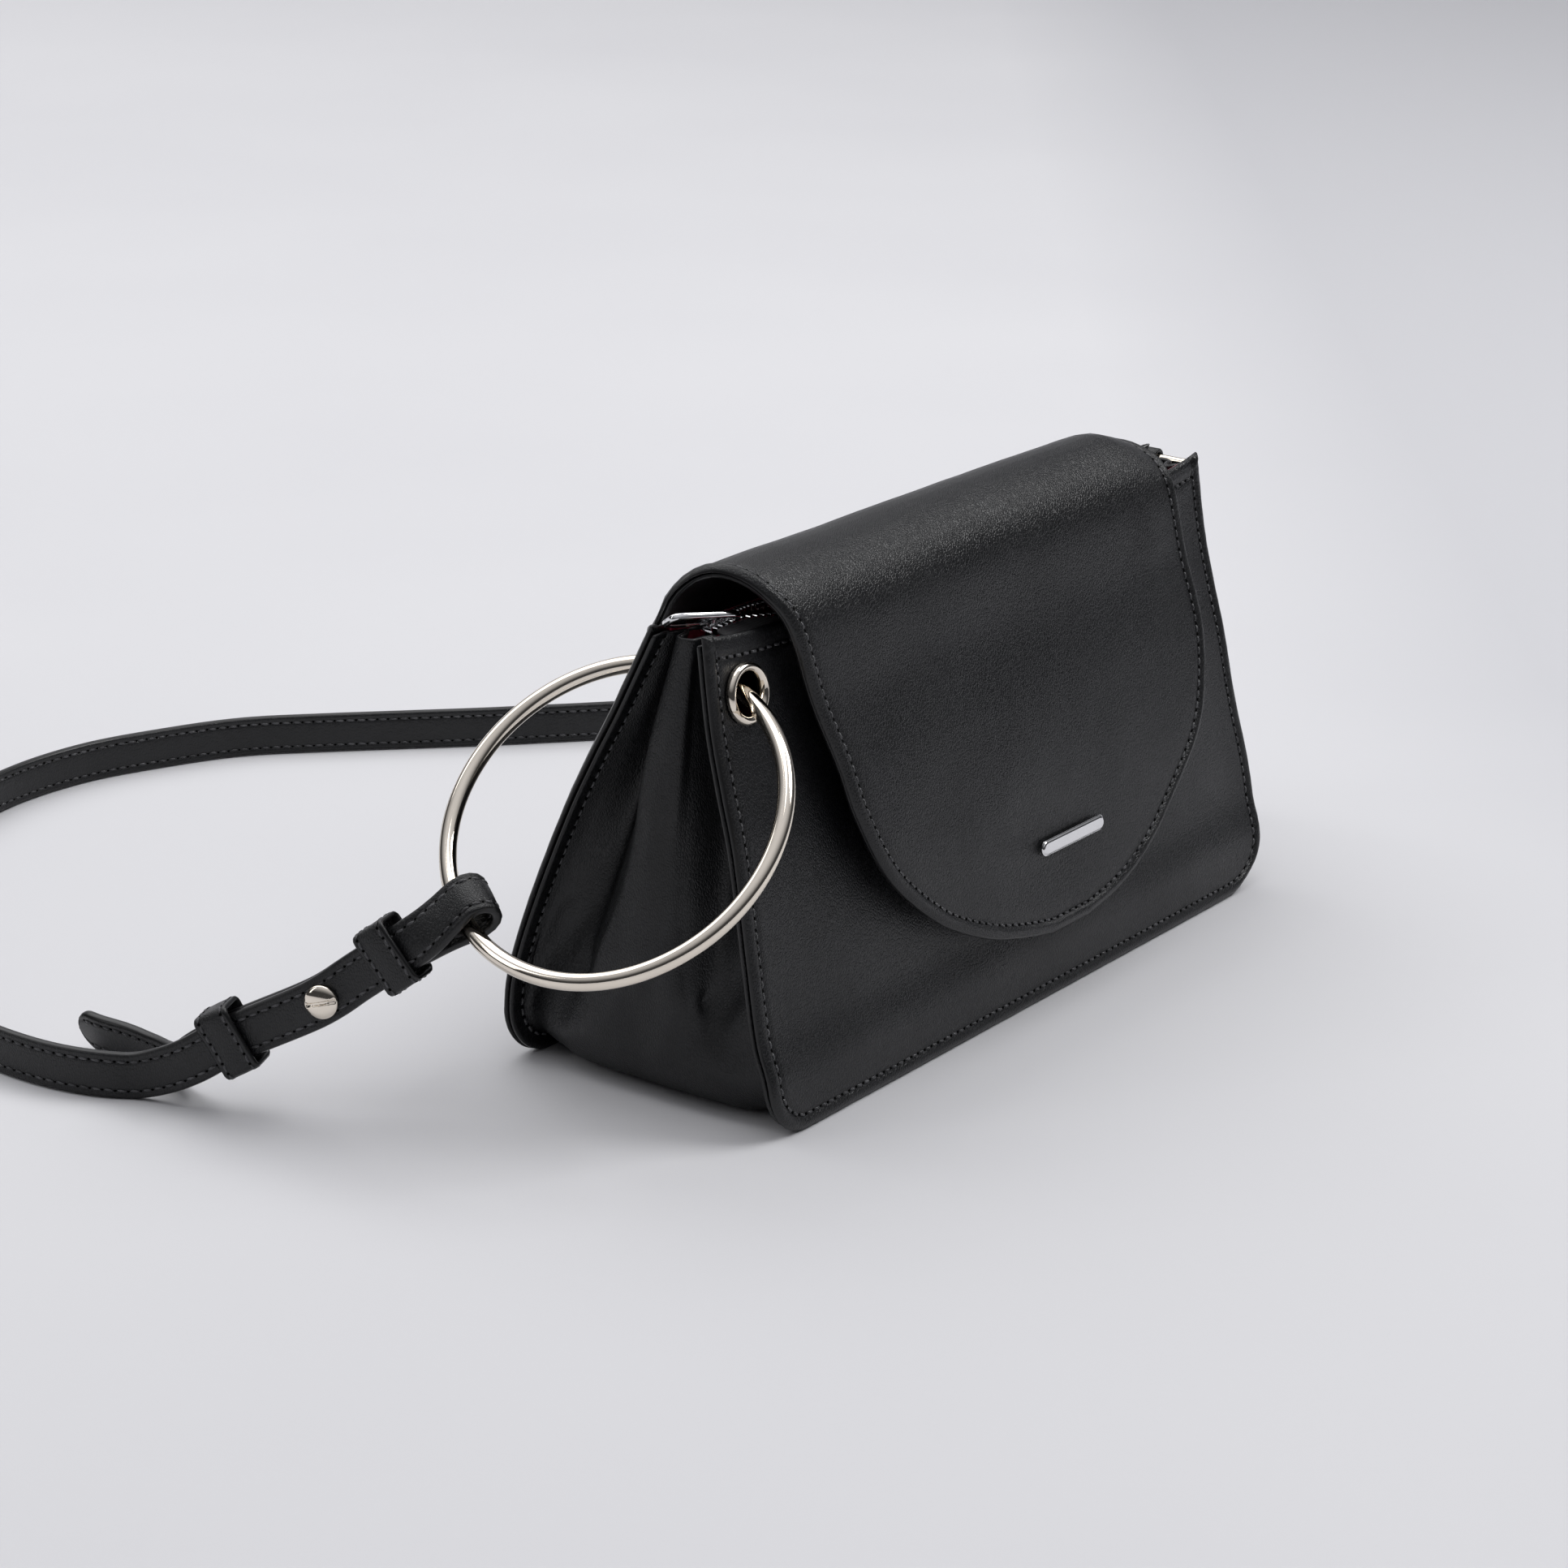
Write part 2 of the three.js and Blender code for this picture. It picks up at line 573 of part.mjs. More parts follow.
function zip_tape(side) {
  const wall_y = face_y(side, zip_half, zip_z + 2 * zip_tape_wall, lining_depth + lining_wall + clearance);
  const middle_y = (face_y(-1, zip_half, zip_z, panel_wall) + face_y(1, zip_half, zip_z, panel_wall)) / 2;
  const edge_y = (x) => {
    const open = THREE.MathUtils.smoothstep(x, slider_length - zip_half, slider_length + zip_spread - zip_half);
    return middle_y + side * mix(zip_closed_gap, zip_gap, open) / 2;
  };
  const outline = new THREE.Shape();
  outline.moveTo(-zip_half, wall_y);
  outline.lineTo(zip_half, wall_y);
  const teeth = Math.floor(2 * zip_half / zip_pitch);
  const pitch = 2 * zip_half / teeth;
  for (let i = teeth - 1; i >= 0; i -= 1) {
    const x = -zip_half + i * pitch;
    for (const [share, tooth] of [[0.9, 1], [0.9, 0], [0.4, 0], [0.4, 1]]) {
      outline.lineTo(x + share * pitch, edge_y(x) + side * tooth * zip_tooth);
    }
  }
  outline.lineTo(-zip_half, edge_y(-zip_half) + side * zip_tooth);
  const geometry = new THREE.ExtrudeGeometry(outline, { depth: zip_tape_wall, bevelEnabled: false });
  return { geometry: geometry.translate(0, 0, zip_z), middle_y };
}

const zip_front = zip_tape(-1);
const zip_middle_y = zip_front.middle_y;
leather('zip_tape_front', zip_front.geometry);
leather('zip_tape_back', zip_tape(1).geometry);

// Slider body: a plate over the teeth and a plate under them, joined by a post in the gap
const slider_x = -zip_half + slider_length / 2;
const slider_plate = (slider_height - zip_tape_wall - 2 * clearance) / 2;
const slider_width = zip_closed_gap + 2 * zip_tooth + 1.5;
function slider_box(width, height, z) {
  return new THREE.BoxGeometry(slider_length, width, height).translate(slider_x, zip_middle_y, z);
}
const slider_above = zip_z + zip_tape_wall + clearance + slider_plate / 2;
const slider_below = zip_z - clearance - slider_plate / 2;
const slider_post = slider_box(zip_closed_gap - 2 * clearance, slider_height, zip_z + zip_tape_wall / 2);
chrome('zip_slider', join(slider_box(slider_width, slider_plate, slider_above),
  slider_box(slider_width, slider_plate, slider_below), slider_post));

// Puller: a long loop that points out over the closed end of the zip
function zip_puller() {
  const outline = new THREE.Shape();
  const half = puller_width / 2;
  outline.moveTo(0.8, -half);
  outline.lineTo(puller_length - 1.5, -0.55 * half);
  outline.quadraticCurveTo(puller_length, 0, puller_length - 1.5, 0.55 * half);
  outline.lineTo(0.8, half);
  outline.quadraticCurveTo(0, half, 0, half - 0.8);
  outline.lineTo(0, -half + 0.8);
  outline.quadraticCurveTo(0, -half, 0.8, -half);
  const window = new THREE.Path();
  window.moveTo(1.6, -half + 1.3);
  window.lineTo(1.6, half - 1.3);
  window.lineTo(5.4, half - 1.5);
  window.lineTo(5.4, -half + 1.5);
  outline.holes.push(window);
  const depth = puller_wall;
  const geometry = new THREE.ExtrudeGeometry(outline, { depth, bevelEnabled: false, curveSegments: 3 });
  const along = vec(-0.92, 0.37, 0.13).normalize();
  const across = vec(0, 0, 1).cross(along).normalize();
  const slider_top = slider_above + slider_plate / 2;
  const start = vec(slider_x + 0.4 * slider_length, zip_middle_y - 0.36 * slider_width, slider_top + clearance);
  return placed(geometry, along, across, along.clone().cross(across), start);
}
chrome('zip_puller', zip_puller());

// D-ring: its bar lies in the tab at the top of the right gusset and its bow falls outwards
const tab_foot = bag_height - d_ring_drop - tab_height;
const ridge_depth = fold_deep(4, tab_foot / bag_height);
const tab_rim = d_ring_wire / 2 + clearance + tab_wall;
const d_ring_x = half_length(tab_foot) - ridge_depth + gusset_wall / 2 + 1.5 * clearance + tab_rim;
const d_ring_z = tab_foot + tab_height;
const d_ring_y = (face_y(-1, d_ring_x, d_ring_z) + face_y(1, d_ring_x, d_ring_z)) / 2 + d_ring_shift;
const d_ring_bar = vec(d_ring_x, d_ring_y, d_ring_z);
const d_fall = vec(Math.cos(radians(d_ring_fall)), 0, -Math.sin(radians(d_ring_fall)));
const d_ring_apex = d_ring_bar.clone().addScaledVector(d_fall, d_ring_depth);

function d_ring() {
  const half = (d_ring_width + d_ring_wire) / 2;
  const bow = Array.from({ length: 11 }, (_, i) => {
    const angle = Math.PI * (i / 10 - 0.5);
    return [half * Math.sin(angle), d_ring_depth * (0.3 + 0.7 * Math.sqrt(Math.max(Math.cos(angle), 0)))];
  });
  const path = [...bow, [half, 0], [half / 3, 0], [-half / 3, 0], [-half, 0]];
  const out = vec(0, 1, 0).cross(d_fall).normalize();
  const centres = path.map(([y, along]) => d_ring_bar.clone().add(vec(0, y, 0)).addScaledVector(d_fall, along));
  const rings = centres.map((centre, i) => {
    const before = centres[(i + centres.length - 1) % centres.length];
    const after = centres[(i + 1) % centres.length];
    const tangent = after.clone().sub(before).normalize();
    const side = tangent.clone().cross(out).normalize();
    return Array.from({ length: 8 }, (_, k) => {
      const angle = k * Math.PI / 4;
      return centre.clone().addScaledVector(side, d_ring_wire / 2 * Math.cos(angle))
        .addScaledVector(out, d_ring_wire / 2 * Math.sin(angle));
    });
  });
  return sweep(rings, true);
}
gold('d_ring', d_ring());

// Tab: a folded strip round the D-ring's bar, lying on the gusset's ridge
function tab() {
  const rim = tab_rim;
  const outline = new THREE.Shape();
  outline.moveTo(-rim, -tab_height);
  outline.lineTo(-rim, 0);
  outline.absarc(0, 0, rim, Math.PI, 0, true);
  outline.quadraticCurveTo(rim, -rim, -rim + 2.1 * tab_wall, -2.4 * rim);
  outline.lineTo(-rim + 2.1 * tab_wall, -tab_height);
  outline.lineTo(-rim, -tab_height);
  const slot = new THREE.Path();
  slot.absarc(0, 0, rim - tab_wall, 0, Math.PI * 2);
  outline.holes.push(slot);
  const geometry = new THREE.ExtrudeGeometry(outline, { depth: tab_width, bevelEnabled: false, curveSegments: 6 });
  geometry.translate(0, 0, -tab_width / 2);
  const place = d_ring_bar.clone().add(vec(0, -0.5 * d_ring_shift, 0));
  return placed(geometry, vec(1, 0, 0), vec(0, 0, 1), vec(0, -1, 0), place);
}
leather('d_ring_tab', tab());

// Strap: one band from its left tip, round the ring, over the floor, round the D-ring to its right tip.
// Each station has a place, the band's width direction and, at the tips, a narrower width.
const layer_gap = strap_wall + clearance;
const fold_radius = (wire) => wire / 2 + fold_slack + strap_wall / 2;
const down = vec(0, 0, -1);
// Half a turn of the band round a wire, from its outer layer (turn 1) to its tail layer (turn -1)
function fold({ centre, away, outer, radius, width }) {
  return [1, 0.75, 0.5, 0.25, 0, -0.25, -0.5, -0.75, -1].map((share) => {
    const angle = share * Math.PI / 2;
    return {
      place: centre.clone().addScaledVector(away, radius * Math.cos(angle))
        .addScaledVector(outer, radius * Math.sin(angle)),
      width: width.clone(),
    };
  });
}

const ring_place = on_ring(ring_hold);
const ring_tangent = on_ring(ring_hold - 1).sub(on_ring(ring_hold + 1)).normalize();
const strap_rest = strap_width / 2 + clearance;

function on_route([x, y, z = 0]) {
  return vec(x * bag_length, half_depth + y * bag_length, Math.max(z * bag_height, strap_rest));
}

const fall = strap_fall.map(on_route);
const climb = strap_climb.map(on_route);

// The direction square to a band's width, nearest to another one
const square_to = (width, direction) => direction.clone().addScaledVector(width, -direction.dot(width)).normalize();

// A fold's arc lies past the wire, away from where the band comes from
function make_fold(place, width, toward, outer_hint, wire, reach) {
  const away = square_to(width, place.clone().sub(toward));
  const outer = square_to(width, outer_hint);
  outer.addScaledVector(away, -outer.dot(away)).normalize();
  const centre = place.clone().addScaledVector(away, reach);
  return { centre, away, outer, width, radius: fold_radius(wire), place };
}

const d_ring_width_axis = vec(0, -1, 0);
const hold_place = d_ring_apex.clone().add(vec(0, d_ring_hold, 0));
const left = make_fold(ring_place, ring_tangent, fall[1], vec(-1, 0, 0), ring_wire, ring_fold_reach);
const right = make_fold(
  hold_place, d_ring_width_axis, climb[climb.length - 1], vec(1, 0, 0.4), d_ring_wire, d_ring_fold_reach,
);
const fold_start = ({ centre, outer, radius }) => centre.clone().addScaledVector(outer, radius);
const main_places = [fold_start(left), ...fall, ...strap_on_floor.map(on_route), ...climb, fold_start(right)];
const main_curve = new THREE.CatmullRomCurve3(main_places, false, 'centripetal');
main_curve.arcLengthDivisions = 1200;
const main_length = main_curve.getLength();

// The band's width direction along its way: share of the length, direction
const width_turns = [
  [0, ring_tangent], [0.03, vec(0.12, -0.52, -0.85)], [0.085, vec(0.2, -0.45, -0.87)], [0.14, down], [0.8, down],
  [0.9, vec(-0.5, -0.55, -0.4)], [0.93, vec(-0.5, -0.86, 0)], [0.958, vec(-0.5, -0.86, 0)],
  [0.985, vec(-0.15, -0.98, 0)], [1, d_ring_width_axis],
];

// The band's place, tangent, width direction and square direction at a length from the ring
function station(length) {
  const at = THREE.MathUtils.clamp(length / main_length, 0, 1);
  const place = main_curve.getPointAt(at);
  const tangent = main_curve.getTangentAt(at);
  const k = Math.max(width_turns.findIndex(([share]) => share >= at), 1);
  const [from, to] = [width_turns[k - 1], width_turns[k]];
  const direction = from[1].clone().lerp(to[1], THREE.MathUtils.smoothstep(at, from[0], to[0]));
  const width = square_to(tangent, direction);
  return { length, place, tangent, width, normal: tangent.clone().cross(width).normalize() };
}

// Stations are close together near the folds and further apart over the floor
const end_steps = Math.round(strap_end_reach / strap_end_step);
const end_lengths = Array.from({ length: end_steps + 1 }, (_, i) => i * strap_end_step);
const end_reach = end_lengths[end_steps];
const floor_steps = Math.round((main_length - 2 * end_reach) / strap_floor_step);
const floor_lengths = panel_rows(end_reach, main_length - end_reach, floor_steps + 1).slice(1, -1);
const lengths = [...end_lengths, ...floor_lengths, ...end_lengths.map((l) => main_length - l).reverse()];
const main_stations = lengths.map(station);

// The tail layer runs beside the main one and closes up to it behind the fold
function tail(at, held, sense, spread) {
  return end_lengths.filter((l) => l > 0 && l <= held).map((length) => {
    const { place, width, normal } = station(at(length));
    const apart = mix(spread, layer_gap, THREE.MathUtils.smoothstep(length, 0, fold_settle));
    return { place: place.clone().addScaledVector(normal, sense * apart), width };
  });
}

function tip(stations) {
  const last = stations.length - 1;
  const end = stations[last];
  const onward = end.place.clone().sub(stations[last - 1].place).normalize();
  const extra = [[0.5, 0.93], [0.95, 0.72], [1.25, 0.38]].map(([share, narrow]) => ({
    place: end.place.clone().addScaledVector(onward, share * strap_width / 2),
    width: end.width,
    narrow,
  }));
  return [...stations, ...extra];
}

const from_left = (length) => length;
const from_right = (length) => main_length - length;
const sense_of = ({ place, normal }, inner) => Math.sign(inner.clone().sub(place).dot(normal));
const left_sense = sense_of(station(from_left(4)), left.place);
const right_sense = sense_of(station(from_right(4)), right.place);
const left_held = tail(from_left, left_tail_held, left_sense, 2 * left.radius);
const right_held = tail(from_right, right_tail_held, right_sense, 2 * right.radius);
const leaning = vec(0.3, -0.1, -0.95).normalize();
const loose = strap_loose_tip.map((row) => ({ place: on_route(row), width: leaning }));
const left_tail = tip([...left_held, ...loose]);
const right_tail = tip(right_held);

const band = [
  ...left_tail.reverse(), ...fold(left).slice(1).reverse(), ...main_stations, ...fold(right).slice(1), ...right_tail,
];

function strap_band() {
  const rings = band.map(({ place, width, narrow = 1 }, i) => {
    const before = band[Math.max(i - 1, 0)].place;
    const after = band[Math.min(i + 1, band.length - 1)].place;
    const tangent = after.clone().sub(before).normalize();
    const normal = tangent.clone().cross(width).normalize();
    const across = normal.clone().cross(tangent).normalize();
    return [[-1, -1], [1, -1], [1, 1], [-1, 1]].map(([w, n]) => place.clone()
      .addScaledVector(across, w * narrow * strap_width / 2)
      .addScaledVector(normal, n * strap_wall / 2));
  });
  return sweep(rings, false);
}

// Keepers and studs hold both layers of the band at a length from its fold
function held_frame(length, sense) {
  const { place, tangent, normal } = station(length);
  const inward = normal.clone().multiplyScalar(sense);
  return { middle: place.clone().addScaledVector(inward, layer_gap / 2), tangent, inward };
}

function keeper({ middle, tangent, inward }) {
  const across = inward.clone().cross(tangent).normalize();
  const inner_height = strap_width + keeper_slack;
  const inner_depth = 2 * strap_wall + 3 * clearance + 1.3;
  const outline = rounded_rectangle(inner_height + 2 * keeper_wall, inner_depth + 2 * keeper_wall, 1.6, new THREE.Shape());
  outline.holes.push(rounded_rectangle(inner_height, inner_depth, 0.5, new THREE.Path()));
  const depth = keeper_length;
  const geometry = new THREE.ExtrudeGeometry(outline, { depth, bevelEnabled: false, curveSegments: 2 });
  geometry.translate(0, 0, -keeper_length / 2);
  return placed(geometry, across, inward, across.clone().cross(inward), middle);
}

function stud({ middle, tangent, inward }) {
  const half = layer_gap / 2 + strap_wall / 2 + clearance;
  const outward = inward.clone().negate();
  const profile = [
    [0, -half - 0.8], [stud_radius * 0.85, -half - 0.8], [stud_radius * 0.85, -half], [stud_shank, -half],
    [stud_shank, half], [stud_radius, half], [stud_radius, half + 0.35 * stud_dome],
    [stud_radius * 0.8, half + 0.75 * stud_dome], [stud_radius * 0.45, half + 0.96 * stud_dome], [0, half + stud_dome],
  ];
  const round = turned(profile, 16, outward, middle);
  const slot = new THREE.BoxGeometry(2 * stud_radius, 0.8, stud_slot);
  const across = tangent.clone().cross(outward).normalize();
  const place = middle.clone().addScaledVector(outward, half + stud_dome - stud_slot / 2 + 0.3);
  const long = tangent.clone().addScaledVector(across, 0.35).normalize();
  const square = outward.clone().cross(long).normalize();
  return cut(round, placed(slot, long, square, outward, place));
}

const left_frames = {
  keepers: left_places.keepers.map((length) => held_frame(from_left(length), left_sense)),
  stud: held_frame(from_left(left_places.stud), left_sense),
};
const right_frames = {
  keepers: right_places.keepers.map((length) => held_frame(from_right(length), right_sense)),
  stud: held_frame(from_right(right_places.stud), right_sense),
};
const stud_holes = [left_frames.stud, right_frames.stud].map(({ middle, inward }) => (
  cylinder(stud_shank + clearance, 4 * strap_wall, inward, middle, 12)));
leather('strap', cut(strap_band(), ...stud_holes));
for (const [word, frames] of [['left', left_frames], ['right', right_frames]]) {
  frames.keepers.forEach((frame, k) => leather(`keeper_${word}_${k + 1}`, keeper(frame)));
  gold(`stud_${word}`, stud(frames.stud));
}

export default group;
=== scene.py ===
import math

import bpy
import numpy as np
from mathutils import Matrix, noise


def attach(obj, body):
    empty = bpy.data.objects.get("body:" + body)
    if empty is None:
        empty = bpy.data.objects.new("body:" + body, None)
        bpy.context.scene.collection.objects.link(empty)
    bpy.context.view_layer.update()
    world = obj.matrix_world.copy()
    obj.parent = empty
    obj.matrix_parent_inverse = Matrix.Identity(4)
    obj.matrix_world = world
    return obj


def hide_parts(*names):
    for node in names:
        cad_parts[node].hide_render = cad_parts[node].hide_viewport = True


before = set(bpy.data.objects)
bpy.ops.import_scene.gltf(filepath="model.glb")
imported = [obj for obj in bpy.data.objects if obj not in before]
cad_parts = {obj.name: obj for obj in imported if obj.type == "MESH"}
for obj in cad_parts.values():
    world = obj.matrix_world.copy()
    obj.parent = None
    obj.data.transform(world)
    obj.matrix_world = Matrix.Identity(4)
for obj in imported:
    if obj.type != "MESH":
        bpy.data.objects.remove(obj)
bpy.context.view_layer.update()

# Millimetres in this script become metres in the meshes
MM = 0.001
HULL = "root"

# The camera, from the photograph's own perspective
CAMERA_PLACE = (-843.11, -567.49, 403.4)
CAMERA_YAW = -54.185
CAMERA_PITCH = 19.12
CAMERA_ROLL = 1.0
CAMERA_LENS = 92.79

# Sizes of the bag, as in the CAD source
BAG_LENGTH, MOUTH_LENGTH, BAG_HEIGHT, BAG_DEPTH = 235, 228, 123, 86
CORNER_RADIUS, EAR_RISE, BELLY = 14, 3, 2.5
PANEL_WALL, GUSSET_WALL, LINING_WALL, CLEARANCE = 1.4, 1.3, 0.8, 0.3
LIP_WIDTH, FOLD_DEPTH, GUSSET_DROP = 5, 12, 2.5
LINING_MARGIN, LINING_FOOT = 7.5, 9
FLAP_WALL, FLAP_LINING_WALL, FLAP_WIDTH = 1.5, 1.1, 212
FLAP_FOOT, FLAP_RISE, FLAP_SAG, FLAP_PROUD = 21, 11.8, 7.4, 8
FLAP_BACK_REACH, FLAP_EYELET_GAP = 30, 5.5
RING_RADIUS, RING_WIRE, RING_TILT = 43.2, 4.4, 43.9
EYELET_PLACES = {-1: (13.5, 16.5), 1: (13.2, 13.5)}
EYELET_FLANGE, EYELET_HOLE, EYELET_TUBE_WALL = 7.7, 5.1, 0.7
EYELET_DOME, EYELET_WASHER, EYELET_WASHER_WALL, EYELET_SEAT = 1.6, 6.2, 0.7, 0.45
ZIP_DROP, ZIP_GAP, ZIP_CLOSED_GAP, ZIP_SPREAD = 1.5, 8, 2.2, 16
ZIP_TAPE_WALL, ZIP_TOOTH, ZIP_END_MARGIN = 0.8, 1.6, 13
SLIDER_LENGTH, SLIDER_HEIGHT = 9, 3.4
PULLER_LENGTH, PULLER_WIDTH, PULLER_TILT = 19.5, 6.6, 34
STRAP_WIDTH, STRAP_WALL = 12, 2.6
RING_HOLD, FOLD_SLACK, RING_FOLD_REACH, D_RING_FOLD_REACH = 33, 1.1, 3, 0.4
LEFT_TAIL_HELD, RIGHT_TAIL_HELD, FOLD_SETTLE = 84, 68, 17
LEFT_KEEPERS, LEFT_STUD = (24, 74), 46
RIGHT_KEEPERS, RIGHT_STUD = (20, 54), 37
KEEPER_LENGTH, KEEPER_WALL, KEEPER_SLACK = 9.6, 1.3, 3
STUD_RADIUS, STUD_DOME, STUD_SHANK = 4.3, 2, 1.5
D_RING_WIDTH, D_RING_DEPTH, D_RING_WIRE = 15.4, 11, 2.4
D_RING_FALL, D_RING_SHIFT, D_RING_DROP = 62, 3, 4.4
TAB_WIDTH, TAB_WALL, TAB_HEIGHT, TAB_SHIFT = 5, 1.2, 16, 4.2
BAR_LENGTH, BAR_HEIGHT, BAR_WALL, BAR_PLACE = 30, 4, 1.2, (10.5, 44.5)

# How the photographed bag has settled: in millimetres at its right end and under its left end
SWELL, CORNER_CUT, CORNER_LIFT, GUSSET_TUCK = 4, 2.2, 1.2, 2.4

# Sewing: how far the stitches lie from an edge, their pitch, length and thickness
SEAM_INSET, MOUTH_INSET, FLAP_INSET, STRAP_INSET = 3.9, 5.2, 3.7, 2.2
STITCH_PITCH, STITCH_LENGTH, STITCH_THICK = 3.0, 2.2, 0.44

FRONT_LEAN = [(0, 1.0), (0.12, 0.96), (0.2, 0.875), (0.35, 0.79), (0.58, 0.665), (0.7, 0.57), (0.82, 0.484), (1, 0.405)]
BACK_LEAN = [
    (0, 0.97), (0.12, 0.995), (0.2, 0.97), (0.35, 0.837), (0.58, 0.572), (0.7, 0.407), (0.82, 0.228), (1, -0.019),
]
GUSSET_UP = [0, 0.06, 0.18, 0.32, 0.54, 0.7, 0.85, 1]
GUSSET_ACROSS = [
    [0.94, 0.78, 0.5, 0.25, 0], [0.94, 0.76, 0.5, 0.27, 0], [0.93, 0.66, 0.45, 0.27, 0], [0.90, 0.60, 0.38, 0.18, 0],
    [0.88, 0.58, 0.32, 0.14, 0], [0.86, 0.60, 0.34, 0.20, 0], [0.80, 0.60, 0.36, 0.25, 0], [0.78, 0.60, 0.38, 0.27, 0],
]
GUSSET_DEEP = [
    [0.376, 0.196, 0, 0, 0], [0.406, 0.246, 0.046, 0.006, 0], [0.466, 0.366, 0.126, 0.016, 0],
    [0.566, 0.766, 0.286, 0.02, 0], [0.646, 1.12, 0.386, 0.056, 0.01], [0.646, 1.14, 0.446, 0.096, 0.05],
    [0.566, 0.846, 0.446, 0.186, 0.14], [0.526, 0.746, 0.526, 0.306, 0.266],
]
FLAP_EDGES = [
    (-1, 1, 1), (-0.4214, 1.006, 1.006), (-0.19, 1.012, 1.006), (-0.0454, 1.13, 1.01), (0.0207, 1.01, 0.835),
    (0.0715, 0.975, 0.835), (0.115, 0.935, 0.835), (0.1924, 0.895, 0.833), (0.2359, 0.875, 0.835),
    (0.2807, 0.85, 0.825), (0.4149, 0.808, 0.84), (0.5406, 0.765, 0.848), (0.6446, 0.735, 0.825),
    (0.7679, 0.65, 0.745), (0.8803, 0.48, 0.57), (0.9275, 0.365, 0.475), (0.9637, 0.24, 0.37),
    (0.9855, 0.12, 0.27), (1, 0.01, 0.15),
]
FLAP_ARCH = [(0.03, 0.5), (0.17, 0.88), (0.38, 1.02), (0.65, 0.87), (0.87, 0.48)]
STRAP_FALL = [
    (-0.703, -0.066, 0.4241), (-0.7135, -0.0345, 0.3756), (-0.7255, 0.0055, 0.3139), (-0.7404, 0.0396, 0.2593),
    (-0.7787, 0.1323, 0.1553), (-0.8, 0.183, 0.0898),
]
STRAP_ON_FLOOR = [
    (-0.815, 0.234, 0), (-0.834, 0.266, 0), (-0.85, 0.32, 0), (-0.854, 0.4, 0), (-0.835, 0.55, 0), (-0.77, 0.69, 0),
    (-0.66, 0.82, 0), (-0.5, 0.935, 0), (-0.278, 1.007, 0), (-0.136, 1.006, 0), (-0.026, 0.97, 0), (0.072, 0.921, 0),
    (0.153, 0.85, 0), (0.23, 0.775, 0), (0.306, 0.701, 0), (0.387, 0.628, 0), (0.5, 0.52, 0), (0.6, 0.37, 0),
    (0.66, 0.19, 0),
]
STRAP_CLIMB = [
    (0.674, 0.02, 0.065), (0.664, -0.064, 0.1548), (0.64, -0.136, 0.3095), (0.619, -0.174, 0.4719),
    (0.602, -0.185, 0.5846), (0.587, -0.187, 0.6496), (0.566, -0.187, 0.7203), (0.536, -0.189, 0.7967),
]
STRAP_LOOSE_TIP = [
    (-0.776, 0.205, 0.065), (-0.762, 0.25, 0.0487), (-0.7575, 0.295, 0.0487), (-0.759, 0.34, 0.0487),
    (-0.754, 0.375, 0.0487),
]

HALF_DEPTH = BAG_DEPTH / 2


def vec(*values):
    return np.array(values, float)


def unit(v):
    v = np.asarray(v, float)
    return v / np.maximum(np.linalg.norm(v, axis=-1, keepdims=True), 1e-9)


def ramp(x, low, high):
    """0 below low, 1 above high and smooth between."""
    t = np.clip((np.asarray(x, float) - low) / (high - low), 0, 1)
    return t * t * (3 - 2 * t)


def follow(table, at):
    """A smooth curve through a table of pairs."""
    t = np.array(table, float)
    x, y = t[:, 0], t[:, 1]
    last = len(x) - 1
    low, high = np.maximum(np.arange(last + 1) - 1, 0), np.minimum(np.arange(last + 1) + 1, last)
    slope = (y[high] - y[low]) / (x[high] - x[low])
    at = np.asarray(at, float)
    k = np.searchsorted(x[1:-1], at)
    span = x[k + 1] - x[k]
    u = np.clip((at - x[k]) / span, 0, 1)
    u2, u3 = u * u, u * u * u
    return (
        (2 * u3 - 3 * u2 + 1) * y[k] + (u3 - 2 * u2 + u) * span * slope[k]
        + (3 * u2 - 2 * u3) * y[k + 1] + (u3 - u2) * span * slope[k + 1]
    )


def smooth_line(points, per_span=24):
    """Points close together on a centripetal curve through some places."""
    p = np.array(points, float)
    p = np.vstack([2 * p[:1] - p[1:2], p, 2 * p[-1:] - p[-2:-1]])
    t = np.linspace(0, 1, per_span, endpoint=False)[:, None]
    out = []
    for i in range(1, len(p) - 2):
        a, b, c, d = p[i - 1:i + 3]
        first, middle, third = (max(np.linalg.norm(v) ** 0.5, 1e-4) for v in (b - a, c - b, d - c))
        m1 = ((b - a) / first - (c - a) / (first + middle) + (c - b) / middle) * middle
        m2 = ((c - b) / middle - (d - b) / (middle + third) + (d - c) / third) * middle
        out.append(b + m1 * t + (3 * c - 3 * b - 2 * m1 - m2) * t ** 2 + (2 * b - 2 * c + m1 + m2) * t ** 3)
    return np.vstack(out + [p[-2:-1]])


class Line:
    """A polyline measured by its length."""

    def __init__(self, points):
        self.points = np.array(points, float)
        steps = np.linalg.norm(np.diff(self.points, axis=0), axis=1)
        self.lengths = np.concatenate([[0], np.cumsum(steps)])
        self.length = self.lengths[-1]

    def at(self, length):
        length = np.clip(np.asarray(length, float), 0, self.length)
        return np.stack([np.interp(length, self.lengths, c) for c in self.points.T], -1)

    def tangent(self, length):
        step = 0.05
        return unit(self.at(np.minimum(length + step, self.length)) - self.at(np.maximum(length - step, 0)))


def half_length(z):
    straight = (BAG_LENGTH + (MOUTH_LENGTH - BAG_LENGTH) * z / BAG_HEIGHT) / 2
    below = np.maximum(CORNER_RADIUS - z, 0)
    return straight - CORNER_RADIUS + np.sqrt(np.maximum(CORNER_RADIUS ** 2 - below ** 2, 0))


